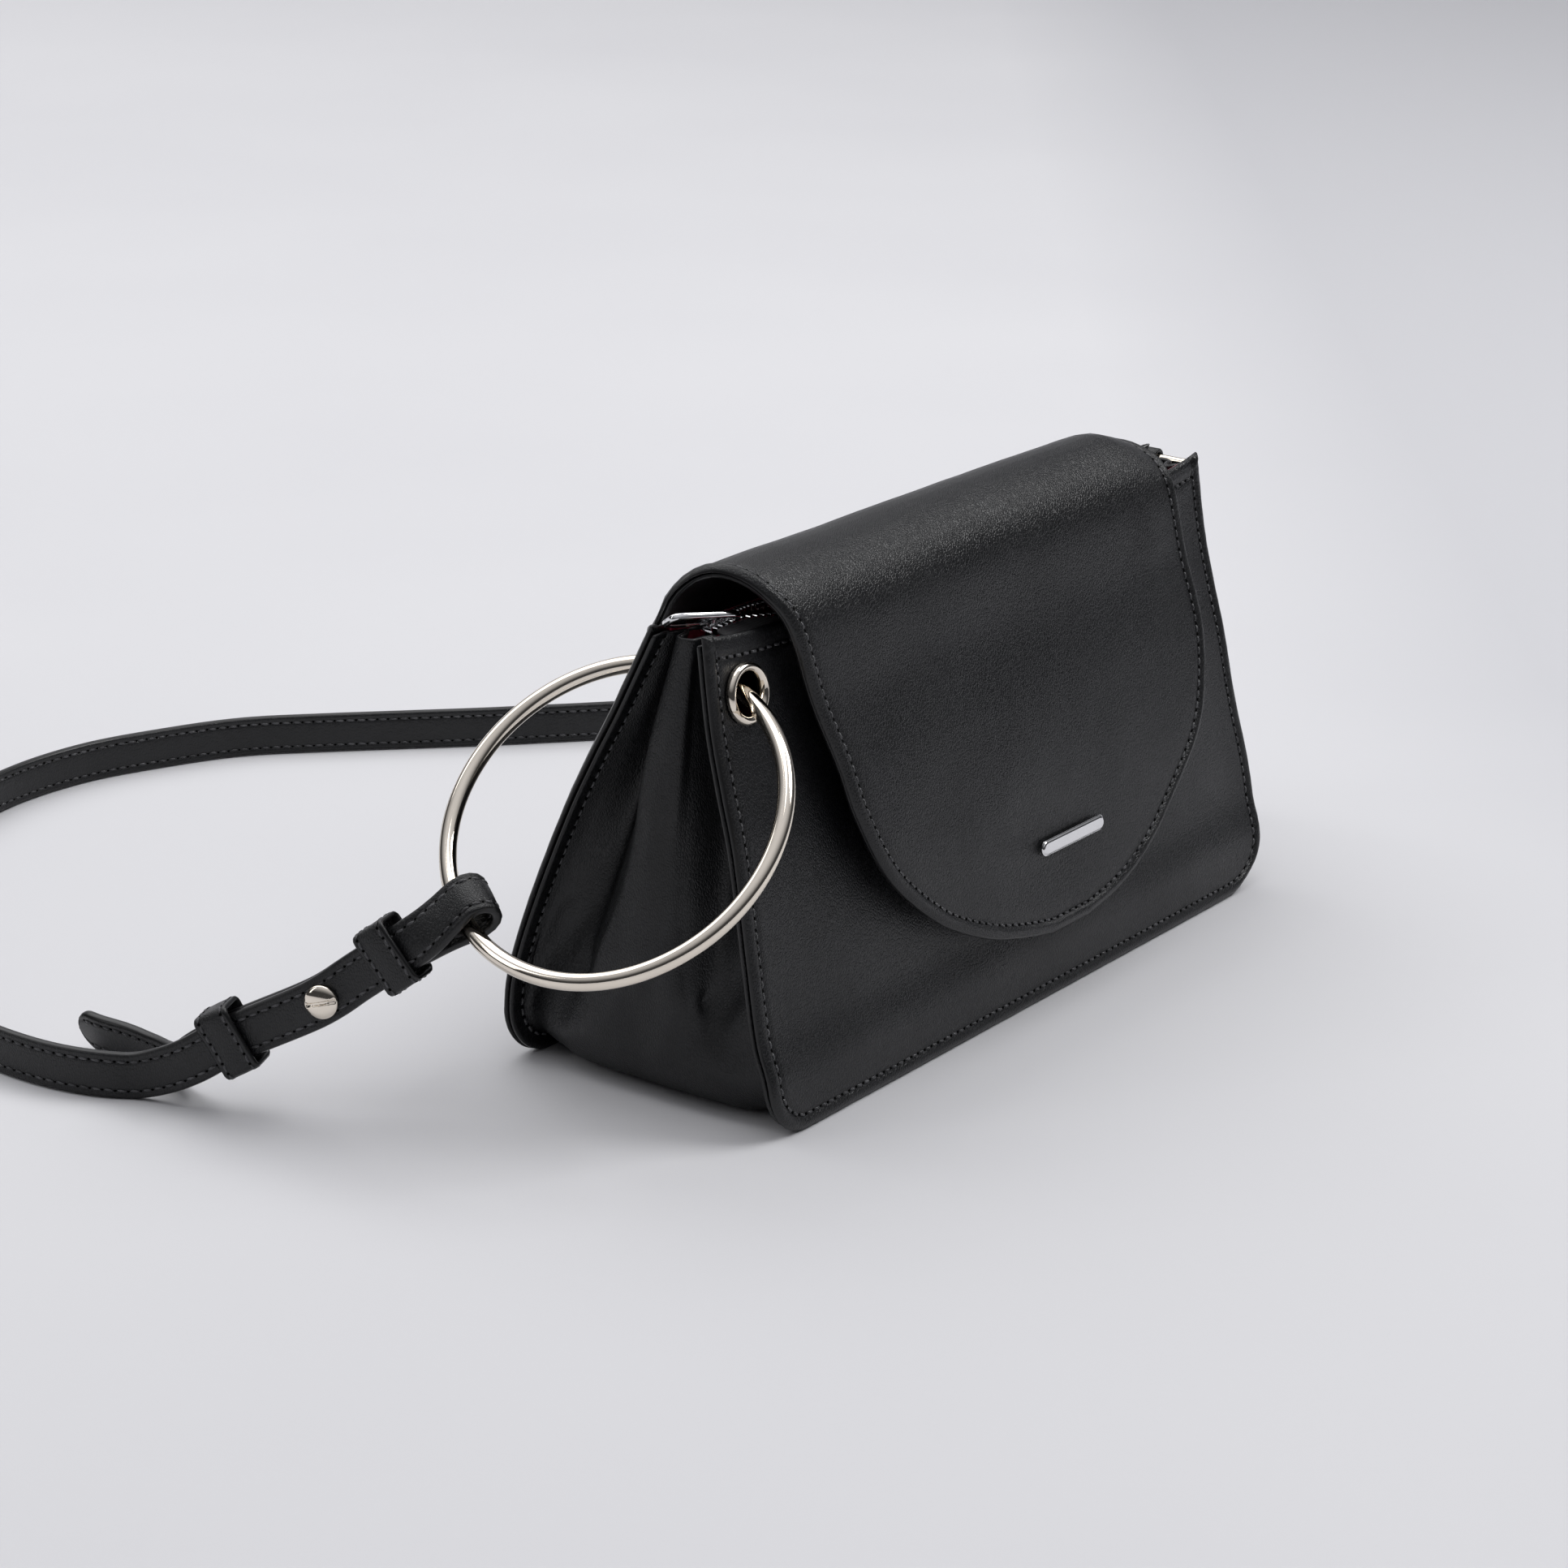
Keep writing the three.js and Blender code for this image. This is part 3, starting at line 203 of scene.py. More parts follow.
def mouth_height(x):
    reach = np.minimum(np.abs(x) / (MOUTH_LENGTH / 2), 1)
    return BAG_HEIGHT - EAR_RISE * (1 - reach ** 8)


def face_y(side, x, z, depth=0.0):
    lean = FRONT_LEAN if side < 0 else BACK_LEAN
    up = np.clip(np.asarray(z, float) / BAG_HEIGHT, 0, 1)
    low, high = np.maximum(up - 0.02, 0), np.minimum(up + 0.02, 1)
    slope = (follow(lean, high) - follow(lean, low)) * HALF_DEPTH / ((high - low) * BAG_HEIGHT)
    bulge = BELLY * np.sin(np.pi * up) * np.maximum(1 - (2 * x / BAG_LENGTH) ** 2, 0)
    return side * (HALF_DEPTH * follow(lean, up) + bulge - depth * np.hypot(1, slope))


def face_normal(side, x, z):
    rise = face_y(side, x, z + 6) - face_y(side, x, z - 6)
    turn = face_y(side, x + 6, z) - face_y(side, x - 6, z)
    return unit(np.stack(np.broadcast_arrays(-side * turn, side * 12.0, -side * rise), -1))


# Looks: one procedural material for each stuff, all at real scale

def new_material(name):
    m = bpy.data.materials.new(name)
    m.use_nodes = True
    nodes, links = m.node_tree.nodes, m.node_tree.links
    shader = nodes["Principled BSDF"]
    coords = nodes.new("ShaderNodeTexCoord").outputs["Object"]
    return m, nodes, links, shader, coords


def noise_node(nodes, links, coords, scale, detail=3.0, roughness=0.55):
    n = nodes.new("ShaderNodeTexNoise")
    n.inputs["Scale"].default_value = scale
    n.inputs["Detail"].default_value = detail
    n.inputs["Roughness"].default_value = roughness
    links.new(coords, n.inputs["Vector"])
    return n.outputs["Fac"]


def cells_node(nodes, links, coords, scale, feature="DISTANCE_TO_EDGE"):
    n = nodes.new("ShaderNodeTexVoronoi")
    n.feature = feature
    n.inputs["Scale"].default_value = scale
    links.new(coords, n.inputs["Vector"])
    return n.outputs["Distance"]


def ranged(nodes, links, value, low, high, to_low, to_high):
    n = nodes.new("ShaderNodeMapRange")
    for key, number in (("From Min", low), ("From Max", high), ("To Min", to_low), ("To Max", to_high)):
        n.inputs[key].default_value = number
    links.new(value, n.inputs["Value"])
    return n.outputs["Result"]


def mixed(nodes, links, fac, first, second):
    n = nodes.new("ShaderNodeMix")
    n.data_type = "RGBA"
    links.new(fac, n.inputs["Factor"])
    n.inputs[6].default_value = (*first, 1)
    n.inputs[7].default_value = (*second, 1)
    return n.outputs[2]


def bumped(nodes, links, layers):
    """layers: height, how strong, how far in metres."""
    last = None
    for height, strength, reach in layers:
        n = nodes.new("ShaderNodeBump")
        n.inputs["Strength"].default_value = strength
        n.inputs["Distance"].default_value = reach
        links.new(height, n.inputs["Height"])
        if last is not None:
            links.new(last, n.inputs["Normal"])
        last = n.outputs["Normal"]
    return last


def leather_material(name, grain, strength, tone, rough, stretch=(1, 1, 0.55)):
    m, nodes, links, shader, coords = new_material(name)
    scaled = nodes.new("ShaderNodeMapping")
    scaled.inputs["Scale"].default_value = stretch
    links.new(coords, scaled.inputs["Vector"])
    coords = scaled.outputs["Vector"]
    warp = nodes.new("ShaderNodeVectorMath")
    warp.operation = "ADD"
    tilt = nodes.new("ShaderNodeTexNoise")
    tilt.inputs["Scale"].default_value = grain * 0.35
    links.new(coords, tilt.inputs["Vector"])
    shrink = nodes.new("ShaderNodeVectorMath")
    shrink.operation = "SCALE"
    shrink.inputs["Scale"].default_value = 0.9 / grain
    links.new(tilt.outputs["Color"], shrink.inputs[0])
    links.new(coords, warp.inputs[0])
    links.new(shrink.outputs[0], warp.inputs[1])
    cells = ranged(nodes, links, cells_node(nodes, links, warp.outputs[0], grain), 0, 0.22, 0, 1)
    fine = noise_node(nodes, links, coords, grain * 1.9, 2)
    creases = noise_node(nodes, links, coords, 95, 4, 0.6)
    broad = noise_node(nodes, links, coords, 22, 2)
    normal = bumped(nodes, links, [
        (broad, 0.2, 0.0010), (creases, 0.3, 0.0003), (cells, strength, 0.00012), (fine, strength * 0.9, 0.00010),
    ])
    links.new(normal, shader.inputs["Normal"])
    low, high = tone
    links.new(mixed(nodes, links, ranged(nodes, links, creases, 0.3, 0.7, 0, 1), low, high),
              shader.inputs["Base Color"])
    links.new(ranged(nodes, links, broad, 0.3, 0.7, rough - 0.05, rough + 0.05), shader.inputs["Roughness"])
    shader.inputs["Specular IOR Level"].default_value = 0.43
    return m


def metal_material(name, color, rough, scratch):
    m, nodes, links, shader, coords = new_material(name)
    shader.inputs["Metallic"].default_value = 1
    wear = noise_node(nodes, links, coords, 260, 5, 0.65)
    dull = noise_node(nodes, links, coords, 45, 2)
    dark = tuple(c * 0.9 for c in color)
    links.new(mixed(nodes, links, ranged(nodes, links, dull, 0.35, 0.65, 0, 1), color, dark),
              shader.inputs["Base Color"])
    links.new(ranged(nodes, links, wear, 0.35, 0.75, rough, rough + 0.08), shader.inputs["Roughness"])
    links.new(bumped(nodes, links, [(wear, scratch, 0.00003)]), shader.inputs["Normal"])
    return m


def cloth_material(name, low, high, pitch, sheen):
    """A plain weave of two crossing sets of threads."""
    m, nodes, links, shader, coords = new_material(name)
    waves = []
    for axis in ("X", "Z"):
        w = nodes.new("ShaderNodeTexWave")
        w.bands_direction = axis
        w.inputs["Scale"].default_value = pitch
        w.inputs["Distortion"].default_value = 0.6
        links.new(coords, w.inputs["Vector"])
        waves.append(w.outputs["Fac"])
    both = nodes.new("ShaderNodeMath")
    both.operation = "MULTIPLY"
    links.new(waves[0], both.inputs[0])
    links.new(waves[1], both.inputs[1])
    folds = noise_node(nodes, links, coords, 60, 3)
    links.new(bumped(nodes, links, [(folds, 0.3, 0.0006), (both.outputs[0], 0.35, 0.00015)]),
              shader.inputs["Normal"])
    links.new(mixed(nodes, links, ranged(nodes, links, folds, 0.3, 0.7, 0, 1), low, high),
              shader.inputs["Base Color"])
    shader.inputs["Roughness"].default_value = 0.75
    shader.inputs["Sheen Weight"].default_value = sheen
    return m


LEATHER = leather_material("leather_black", 1650, 0.48, ((0.0035, 0.0038, 0.0045), (0.006, 0.0063, 0.0072)), 0.35)
EDGE = leather_material("edge_paint", 500, 0.08, ((0.004, 0.004, 0.0045), (0.007, 0.007, 0.0075)), 0.3)
BACKING = leather_material("leather_backing", 1700, 0.3, ((0.004, 0.004, 0.0045), (0.007, 0.007, 0.008)), 0.55)
# Dark thread whose colour is partly lifted to grey as a painted highlight, standing in for glints on the stitches
THREAD_AND_GLINT = leather_material("thread_black_and_painted_glint", 2600, 0.4, ((0.025, 0.025, 0.027), (0.085, 0.085, 0.09)), 0.24)
# Painted shade: near-black beads with almost no gloss stand for the shadow inside each stitch hole
HOLE_SHADE = leather_material("painted_hole_shade", 2000, 0.1, ((0.001, 0.001, 0.001), (0.0015, 0.0015, 0.0015)), 0.85)
HOLE_SHADE.node_tree.nodes["Principled BSDF"].inputs["Specular IOR Level"].default_value = 0.05
GOLD = metal_material("pale_gold", (0.84, 0.77, 0.67), 0.05, 0.05)
CHROME = metal_material("zip_chrome", (0.80, 0.80, 0.81), 0.06, 0.04)
CRIMSON = cloth_material("lining_crimson", (0.42, 0.006, 0.04), (0.58, 0.012, 0.075), 900, 0.25)
TAPE = cloth_material("zip_tape_black", (0.008, 0.008, 0.009), (0.016, 0.016, 0.018), 1300, 0.15)


def settle(points):
    """The right end of the bag swells low down, over a rounder corner."""
    points = np.array(points, float)
    x, z = points[:, 0], points[:, 2]
    low = ramp(x, 70, 117)
    swell = SWELL * np.exp(-((z - 30) / 20) ** 2) - CORNER_CUT * np.exp(-(z / 7) ** 2)
    points[:, 0] = x + low * swell
    points[:, 2] = z + CORNER_LIFT * ramp(x, 96, 117) * np.exp(-(z / 6) ** 2)
    return points


def piece(name, points, faces, materials, slots=None, smooth=True, slot="leather", stands_for=()):
    """A mesh that rides on the bag. points are millimetres and slots the material number of each face."""
    mesh = bpy.data.meshes.new(name)
    if name.startswith(("front_panel", "back_panel", "gusset", "lining")):
        points = settle(points)
    mesh.from_pydata((np.asarray(points, float) * MM).tolist(), [], [list(map(int, f)) for f in faces])
    for m in materials:
        mesh.materials.append(m)
    if slots is not None:
        mesh.polygons.foreach_set("material_index", np.asarray(slots, int))
    mesh.polygons.foreach_set("use_smooth", [smooth] * len(mesh.polygons))
    mesh.update()
    obj = bpy.data.objects.new(name, mesh)
    bpy.context.scene.collection.objects.link(obj)
    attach(obj, HULL)
    if stands_for:
        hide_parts(*stands_for)
    return obj


def grid_normals(grid):
    along = np.gradient(grid, axis=0)
    across = np.gradient(grid, axis=1)
    return unit(np.cross(along, across))


def shell(name, grid, top, under, materials, edge_mask=None, **more):
    """A closed sheet about a grid of points, from one offset along its normal to another."""
    rows, columns = grid.shape[:2]
    normals = more.pop("normals", None)
    normals = grid_normals(grid) if normals is None else normals
    lift = np.broadcast_to(top, grid.shape[:2])[..., None]
    drop = np.broadcast_to(under, grid.shape[:2])[..., None]
    points = np.vstack([(grid + normals * lift).reshape(-1, 3), (grid + normals * drop).reshape(-1, 3)])
    index = np.arange(rows * columns).reshape(rows, columns)
    low = index + rows * columns
    a, b, c, d = index[:-1, :-1], index[1:, :-1], index[1:, 1:], index[:-1, 1:]
    faces = [np.stack([a, b, c, d], -1).reshape(-1, 4)]
    e, f, g, h = low[:-1, :-1], low[:-1, 1:], low[1:, 1:], low[1:, :-1]
    faces.append(np.stack([e, f, g, h], -1).reshape(-1, 4))
    rims = []
    rims.append(np.stack([index[:-1, 0], low[:-1, 0], low[1:, 0], index[1:, 0]], -1))
    rims.append(np.stack([index[:-1, -1], index[1:, -1], low[1:, -1], low[:-1, -1]], -1))
    rims.append(np.stack([index[0, :-1], index[0, 1:], low[0, 1:], low[0, :-1]], -1))
    rims.append(np.stack([index[-1, :-1], low[-1, :-1], low[-1, 1:], index[-1, 1:]], -1))
    rims = np.vstack(rims)
    count = len(faces[0])
    slots = np.zeros(2 * count + len(rims), int)
    slots[2 * count:] = 1
    if edge_mask is not None:
        cell = (edge_mask[:-1, :-1] & edge_mask[1:, 1:]).reshape(-1)
        slots[:count][cell] = 1
        slots[count:2 * count][cell] = 1
    return piece(name, points, np.vstack(faces + [rims]), materials, slots, **more)


def loft(name, rings, materials, closed=False, slots=None, **more):
    """A tube through rings of points, capped at its ends or closed on itself."""
    rings = np.asarray(rings, float)
    count, sides = rings.shape[:2]
    index = np.arange(count * sides).reshape(count, sides)
    following = np.roll(index, -1, 0) if closed else index[1:]
    base = index if closed else index[:-1]
    faces = np.stack([base, np.roll(base, -1, 1), np.roll(following, -1, 1), following], -1).reshape(-1, 4).tolist()
    if not closed:
        faces += [index[0][::-1].tolist(), index[-1].tolist()]
    if slots is not None:
        slots = list(np.tile(slots, len(base))) + ([] if closed else [1, 1])
    return piece(name, rings.reshape(-1, 3), faces, materials, slots, **more)


def frames_along(points, hint):
    """Tangent, side and up directions along a line, up being closest to a hint."""
    tangent = unit(np.gradient(points, axis=0))
    up = unit(hint - tangent * np.sum(hint * tangent, -1, keepdims=True))
    return tangent, np.cross(up, tangent), up


def stitches(name, lines, pitch=STITCH_PITCH, length=STITCH_LENGTH, thick=STITCH_THICK):
    """Rows of single stitches, with a dark bead of painted shade at each stitch hole. Each line is points and outward
    normals, in millimetres.
    """
    angles = np.arange(6) * np.pi / 3
    shape = [(-0.5, 0.15, -0.5), (-0.38, 0.8, -0.05), (-0.15, 1, 0.25), (0.15, 1, 0.25), (0.38, 0.8, -0.05), (0.5, 0.15, -0.5)]
    points, faces, slots = [], [], []
    for places, normals in lines:
        line, up = Line(places), np.asarray(normals, float)
        count = max(int(line.length / pitch), 1)
        step = line.length / count
        # At each stitch end a small dark bead, painted shade for the shadow in the stitch hole
        for i in range(count + 1):
            place, tangent = line.at(i * step), line.tangent(i * step)
            n = np.array([np.interp(i * step, line.lengths, c) for c in up.T])
            n = unit(n - tangent * np.dot(n, tangent))
            side = np.cross(tangent, n)
            start = len(points)
            for wide, high in ((1.25, -0.3), (1.1, 0.25), (0.6, 0.5)):
                for angle in angles:
                    around = side * math.cos(angle) + tangent * math.sin(angle) * 0.8
                    points.append(place + around * wide * thick + n * high * thick)
            for r in range(2):
                for k in range(6):
                    a, b = start + r * 6 + k, start + r * 6 + (k + 1) % 6
                    faces.append((a, b, b + 6, a + 6))
            faces += [tuple(start + k for k in range(5, -1, -1)), tuple(start + 12 + k for k in range(6))]
            slots += [1] * 14
        for i in range(count):
            middle = (i + 0.5) * step
            place, tangent = line.at(middle), line.tangent(middle)
            n = np.array([np.interp(middle, line.lengths, c) for c in up.T])
            n = unit(n - tangent * np.dot(n, tangent))
            side = np.cross(tangent, n)
            lean = tangent + side * 0.1
            start = len(points)
            for along, wide, high in shape:
                centre = place + lean * along * length + n * high * thick
                for angle in angles:
                    points.append(centre + wide * thick * (side * math.cos(angle) + n * math.sin(angle) * 0.8))
            for r in range(len(shape) - 1):
                for k in range(6):
                    a, b = start + r * 6 + k, start + r * 6 + (k + 1) % 6
                    faces.append((a, b, b + 6, a + 6))
            faces.append(tuple(start + k for k in range(5, -1, -1)))
            faces.append(tuple(start + 30 + k for k in range(6)))
            slots += [0] * 32
    return piece(name, points, faces, [THREAD_AND_GLINT, HOLE_SHADE], slots)


def wrinkle(points, scale, reach, seed=0.0, stretch=(1, 1, 1)):
    """A soft unevenness, between minus and plus reach."""
    flat = (np.asarray(points) * np.asarray(stretch) / scale + seed).reshape(-1, 3)
    values = np.array([noise.noise(p.tolist()) for p in flat])
    return (values * reach).reshape(np.asarray(points).shape[:-1])


def edge_profile(d, table, wall):
    """Heights over the face at distances from an edge, and the rounding of the edge itself."""
    round_off = wall / 2 * (1 - np.sqrt(np.clip(1 - (1 - np.clip(d / (0.8 * wall), 0, 1)) ** 2, 0, 1)))
    return np.interp(d, [t[0] for t in table], [t[1] for t in table]), round_off


SEAM_PROFILE = [(0, 0), (0.6, 0.16), (1.4, 0.55), (2.2, 0.66), (3.0, 0.42), (3.5, -0.08), (3.9, -0.36), (4.4, -0.1),
                (5.4, 0.16), (7.5, 0.08), (11, 0)]
MOUTH_PROFILE = [(0, 0.1), (1.5, 0.3), (3.2, 0.34), (4.4, 0.12), (5.2, -0.3), (5.9, 0.0), (8, 0.08), (11, 0)]


# Panels
def seam_distance(x, z):
    """How far a point of a panel lies from its sewn edge."""
    straight = (BAG_LENGTH + (MOUTH_LENGTH - BAG_LENGTH) * z / BAG_HEIGHT) / 2
    out, below = np.abs(x) - (straight - CORNER_RADIUS), CORNER_RADIUS - z
    corner = CORNER_RADIUS - np.hypot(np.maximum(out, 0), np.maximum(below, 0))
    return np.where((out > 0) & (below > 0), corner, np.minimum(straight - np.abs(x), z))


def near_edge_steps(reach, step):
    return [0, 0.12, 0.3, 0.55, 0.85, 1.2, 1.6, 2.05, 2.5, 2.95, 3.35, 3.7, 4.0, 4.4, 4.9, 5.5, 6.3, 7.3] + list(
        np.arange(8.6, reach, step))


def panel(side, name):
    half = half_length(60.0)
    edge = near_edge_steps(half, 3.2)
    shares = np.array(sorted({round(s, 5) for e in edge for s in (-(1 - e / half), 1 - e / half)} | {0.0}))
    turn = np.radians(np.arange(0, 91, 4.5))
    heights = list(CORNER_RADIUS * (1 - np.cos(turn)))
    heights += list(np.arange(CORNER_RADIUS + 2.6, BAG_HEIGHT - 9, 2.6))
    heights += [BAG_HEIGHT - e for e in near_edge_steps(9, 9)[::-1]]
    z = np.array(heights)[:, None] * np.ones(len(shares))
    x = shares * half_length(z)
    raised = z > 0.8 * BAG_HEIGHT
    z = np.where(raised, z + z * (mouth_height(x) / BAG_HEIGHT - 1) * (z / BAG_HEIGHT - 0.8) / 0.2, z)
    grid = np.stack([x, face_y(side, x, z), z], -1)
    normals = face_normal(side, x, z)
    seam, mouth = seam_distance(x, z), mouth_height(x) - z
    profile, seam_round = edge_profile(seam, SEAM_PROFILE, PANEL_WALL)
    lip, mouth_round = edge_profile(mouth, MOUTH_PROFILE, PANEL_WALL)
    face = ramp(seam, 6, 22) * ramp(mouth, 6, 20)
    dents = wrinkle(grid, 38, 0.4, 3.1 + side) + wrinkle(grid, 11, 0.12, 7.7)
    ribs = wrinkle(grid, 1.6, 0.1, 1.3) * (seam < 3.5)
    inset, drop = EYELET_PLACES[side]
    ez = BAG_HEIGHT - drop
    ex = inset - half_length(ez)
    away = np.hypot(x - ex, z - ez)
    press = -0.3 * (1 - ramp(away, EYELET_FLANGE - 1.5, EYELET_FLANGE + 3.5))
    rounding = np.maximum(seam_round, mouth_round)
    top = np.where(seam < mouth, profile, profile + lip) + face * dents + ribs + press - rounding
    under = -PANEL_WALL + np.minimum(rounding, 0.45) + 0 * top
    obj = shell(name, grid, top, under, [LEATHER, EDGE], (seam < 0.55), normals=normals, stands_for=(name,))
    pierce(obj, side)
    return obj


def pierce(obj, side):
    """Cuts the hole for the eyelet's tube."""
    inset, drop = EYELET_PLACES[side]
    z = BAG_HEIGHT - drop
    x = inset - half_length(z)
    hole = bpy.data.objects.new("hole", cylinder_mesh(EYELET_HOLE + EYELET_TUBE_WALL + 0.2, 14))
    bpy.context.scene.collection.objects.link(hole)
    axis = unit(face_normal(side, np.array(x), np.array(z)))
    hole.matrix_world = place_matrix(axis, vec(x, float(face_y(side, x, z)), z))
    bpy.context.view_layer.update()
    cutter = obj.modifiers.new("eyelet_hole", "BOOLEAN")
    cutter.operation, cutter.object, cutter.solver = "DIFFERENCE", hole, "EXACT"
    apply_modifiers(obj)
    bpy.data.objects.remove(hole)


def cylinder_mesh(radius, length, sides=48):
    angles = np.arange(sides) * 2 * np.pi / sides
    ring = np.stack([radius * np.cos(angles), radius * np.sin(angles)], -1)
    points = [(*p, -length / 2) for p in ring] + [(*p, length / 2) for p in ring]
    faces = [(k, (k + 1) % sides, sides + (k + 1) % sides, sides + k) for k in range(sides)]
    faces += [tuple(range(sides - 1, -1, -1)), tuple(range(sides, 2 * sides))]
    mesh = bpy.data.meshes.new("hole")
    mesh.from_pydata((np.array(points) * MM).tolist(), [], faces)
    return mesh


def basis_of(axis):
    axis = unit(axis)
    other = vec(0, 0, 1) if abs(axis[2]) < 0.9 else vec(1, 0, 0)
    side = unit(np.cross(other, axis))
    return side, np.cross(axis, side), axis


def place_matrix(axis, place):
    m = Matrix.Identity(4)
    for k, column in enumerate(basis_of(axis)):
        for r in range(3):
            m[r][k] = column[r]
    for r in range(3):
        m[r][3] = place[r] * MM
    return m


def apply_modifiers(obj):
    graph = bpy.context.evaluated_depsgraph_get()
    mesh = bpy.data.meshes.new_from_object(obj.evaluated_get(graph))
    obj.modifiers.clear()
    old, obj.data = obj.data, mesh
    bpy.data.meshes.remove(old)


def seam_path(side, inset, offset, top_inset=1.5):
    """The seam's stitch line, from the mouth at the left down, along the base and up at the right."""
    down = np.linspace(BAG_HEIGHT - top_inset - 2, CORNER_RADIUS, 60)
    left = np.stack([-(half_length(down) - inset), down], -1)
    angles = np.radians(np.linspace(0, 90, 16))[1:-1]
    centre = half_length(float(CORNER_RADIUS)) - CORNER_RADIUS
    radius = CORNER_RADIUS - inset
    arc = np.stack([-centre - radius * np.cos(angles), CORNER_RADIUS - radius * np.sin(angles)], -1)
    base = np.stack([np.linspace(-centre, centre, 80), np.full(80, float(inset))], -1)
    half = np.vstack([left, arc])
    flat = np.vstack([half, base, half[::-1] * [-1, 1]])
    x, z = flat[:, 0], flat[:, 1]
    y = face_y(side, x, z, -offset)
    return np.stack([x, y, z], -1), face_normal(side, x, z)


def mouth_path(side, offset):
    half = half_length(BAG_HEIGHT - MOUTH_INSET)
    x = np.linspace(-half + SEAM_INSET + 1, half - SEAM_INSET - 1, 90)
    z = mouth_height(x) - MOUTH_INSET
    return np.stack([x, face_y(side, x, z, -offset), z], -1), face_normal(side, x, z)


for side, word in ((-1, "front"), (1, "back")):
    panel(side, f"{word}_panel")
    stitches(f"{word}_panel_stitches", [seam_path(side, SEAM_INSET, -0.22), mouth_path(side, -0.14)])


# Lining: thin cloth inside each panel, with soft folds
def lining(side, word):
    depth = PANEL_WALL + CLEARANCE
    shares = np.linspace(-1, 1, 90)
    drop = 1.0 if side < 0 else 0.4
    heights = np.concatenate([np.linspace(LINING_FOOT, 100, 40), np.linspace(101, BAG_HEIGHT, 18)])
    z = heights[:, None] * np.ones(len(shares))
    x = shares * (half_length(z) - LINING_MARGIN)
    top = (mouth_height(x) - drop) / BAG_HEIGHT
    z = np.where(z > 98.4, z + z * (top - 1) * (z / BAG_HEIGHT - 0.8) / 0.2, z)
    grid = np.stack([x, face_y(side, x, z, depth + LINING_WALL / 2), z], -1)
    folds = np.maximum(wrinkle(grid, 16, 1.4, 5.5, (1, 1, 0.35)), -0.1) * ramp(z, LINING_FOOT, 30)
    folds = folds * (1 - ramp(z, 95, 108))
    inwards = -face_normal(side, x, z)
    obj = shell(f"lining_{word}", grid, LINING_WALL / 2 + folds, folds - LINING_WALL / 2, [CRIMSON, CRIMSON],
                normals=inwards, slot="lining", stands_for=(f"lining_{word}",))
    pierce(obj, side)
    return obj


lining(-1, "front")
lining(1, "back")


# Gusset: one strip down the left end, under the base and up the right end
def fold_profile(up):
    across = [follow([(u, row[k]) for u, row in zip(GUSSET_UP, GUSSET_ACROSS)], up) for k in range(5)]
    deep = [GUSSET_WALL / 2 + FOLD_DEPTH * follow([(u, row[k]) for u, row in zip(GUSSET_UP, GUSSET_DEEP)], up)
            for k in range(5)]
    inner = [(float(v), float(d)) for v, d in zip(across, deep)]
    right = [(1, LIP_WIDTH)] + inner
    row = [(-v, d) for v, d in right] + right[::-1][1:]
    curve = smooth_line(row, 8)
    lips = np.linspace(CLEARANCE / 2, LIP_WIDTH, 11)[:-1]
    left = np.stack([np.full(10, -1.0), lips], -1)
    return np.vstack([left, curve, left[::-1] * [-1, 1]])


